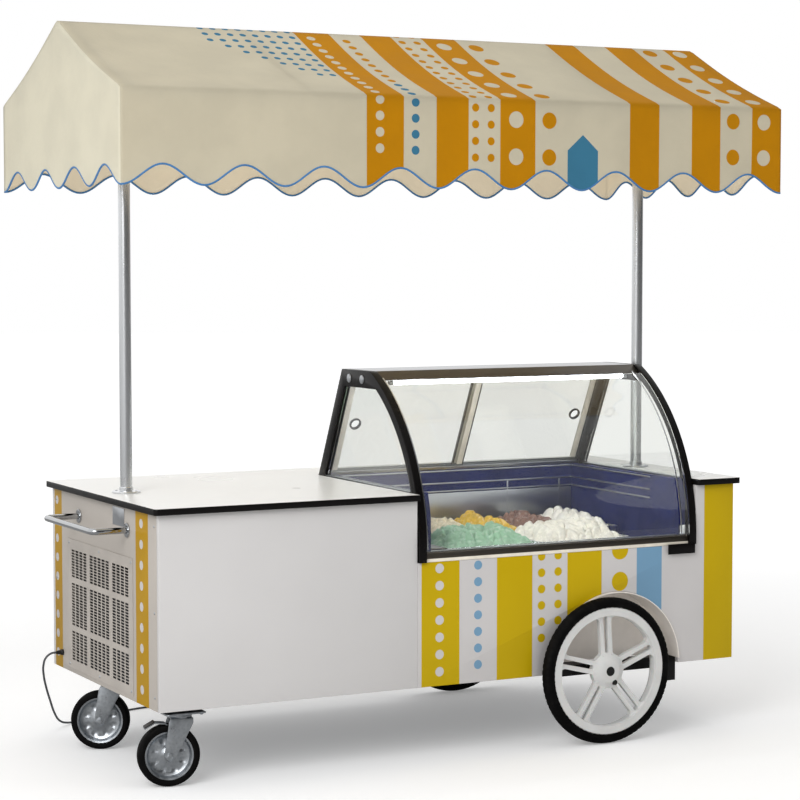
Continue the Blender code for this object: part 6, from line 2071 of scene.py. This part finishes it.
def gable(mesh, row, x, down, vertex):
    """The end of the cloth, from the last line of the roof down to its own wavy hem."""
    roof = row[down : len(row) - down]
    edges = {0: row[down::-1], len(roof) - 1: row[len(row) - down - 1 :]}
    side = -1 if x < 0 else 1
    previous = roof
    for k in range(1, down + 1):
        part = k / down
        line = []
        for j, start in enumerate(roof):
            if j in edges:
                line.append(edges[j][k])
                continue
            y = start.co.y
            share = (y + CANOPY_Y) / (2 * CANOPY_Y)
            z = start.co.z + (hem_height(share, END_WAVES) - start.co.z) * part
            inward = abs(ripple(y, part, side * END_SEED)) * fade(share, END_FADE)
            line.append(vertex(x - side * inward, y, z, 2.0 + y, RIDGE_HEIGHT - z))
        for j in range(len(line) - 1):
            mesh.faces.new((previous[j], previous[j + 1], line[j + 1], line[j]))
        previous = line


def piping_shape():
    """Bias tape round the whole hem, as one closed run."""
    half_x, half_y = CANOPY_X - PIPING_INSET, CANOPY_Y - PIPING_INSET
    run = []
    for side in (-1, 1):
        for k in range(PIPING_LONG):
            x = side * (half_x - 2 * half_x * k / PIPING_LONG)
            share = (x + CANOPY_X) / (2 * CANOPY_X)
            inward = abs(ripple(x, 1.0, side * LONG_SEED)) * fade(share, LONG_FADE)
            run.append((x, side * (half_y - inward), hem_height(k / PIPING_LONG, LONG_WAVES) + PIPING_RISE))
        for k in range(PIPING_END):
            y = side * (half_y - 2 * half_y * k / PIPING_END)
            share = (y + CANOPY_Y) / (2 * CANOPY_Y)
            inward = abs(ripple(y, 1.0, -side * END_SEED)) * fade(share, END_FADE)
            run.append((-side * (half_x - inward), y, hem_height(k / PIPING_END, END_WAVES) + PIPING_RISE))
    return swept(run, sizes().piping / 2, 8, closed=True)


# Panel and start


class CART_PT_sidebar(bpy.types.Panel):
    """The cart's pieces, colours and sizes"""

    bl_idname = "CART_PT_sidebar"
    bl_label = "Ice cream cart"
    bl_space_type = "VIEW_3D"
    bl_region_type = "UI"
    bl_category = "Cart"

    def draw(self, context):
        for operator in OPERATORS:
            self.layout.operator(operator.bl_idname)
        for group in (context.scene.cart_sizes, context.scene.cart_colours):
            box = self.layout.box()
            for name in group.bl_rna.properties.keys():
                if name not in ("rna_type", "name"):
                    box.prop(group, name)


OPERATORS = (
    CART_OT_stage,
    CART_OT_mains_lead,
    CART_OT_body,
    CART_OT_handle_end,
    CART_OT_running_gear,
    CART_OT_glass_case,
    CART_OT_cold_well,
    CART_OT_canopy,
)
CLASSES = (CartColours, CartSizes, *OPERATORS, CART_PT_sidebar)


def register():
    for entry in CLASSES:
        bpy.utils.register_class(entry)
    bpy.types.Scene.cart_colours = PointerProperty(type=CartColours)
    bpy.types.Scene.cart_sizes = PointerProperty(type=CartSizes)


def unregister():
    del bpy.types.Scene.cart_colours
    del bpy.types.Scene.cart_sizes
    for entry in reversed(CLASSES):
        bpy.utils.unregister_class(entry)


def main():
    register()
    for operator in OPERATORS:
        group, name = operator.bl_idname.split(".")
        getattr(getattr(bpy.ops, group), name)()
    boxes = {"frame": FRAME_BOX, "visual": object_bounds()}
    {name: [list(corner) for corner in box] for name, box in boxes.items()}


if __name__ == "__main__":
    main()
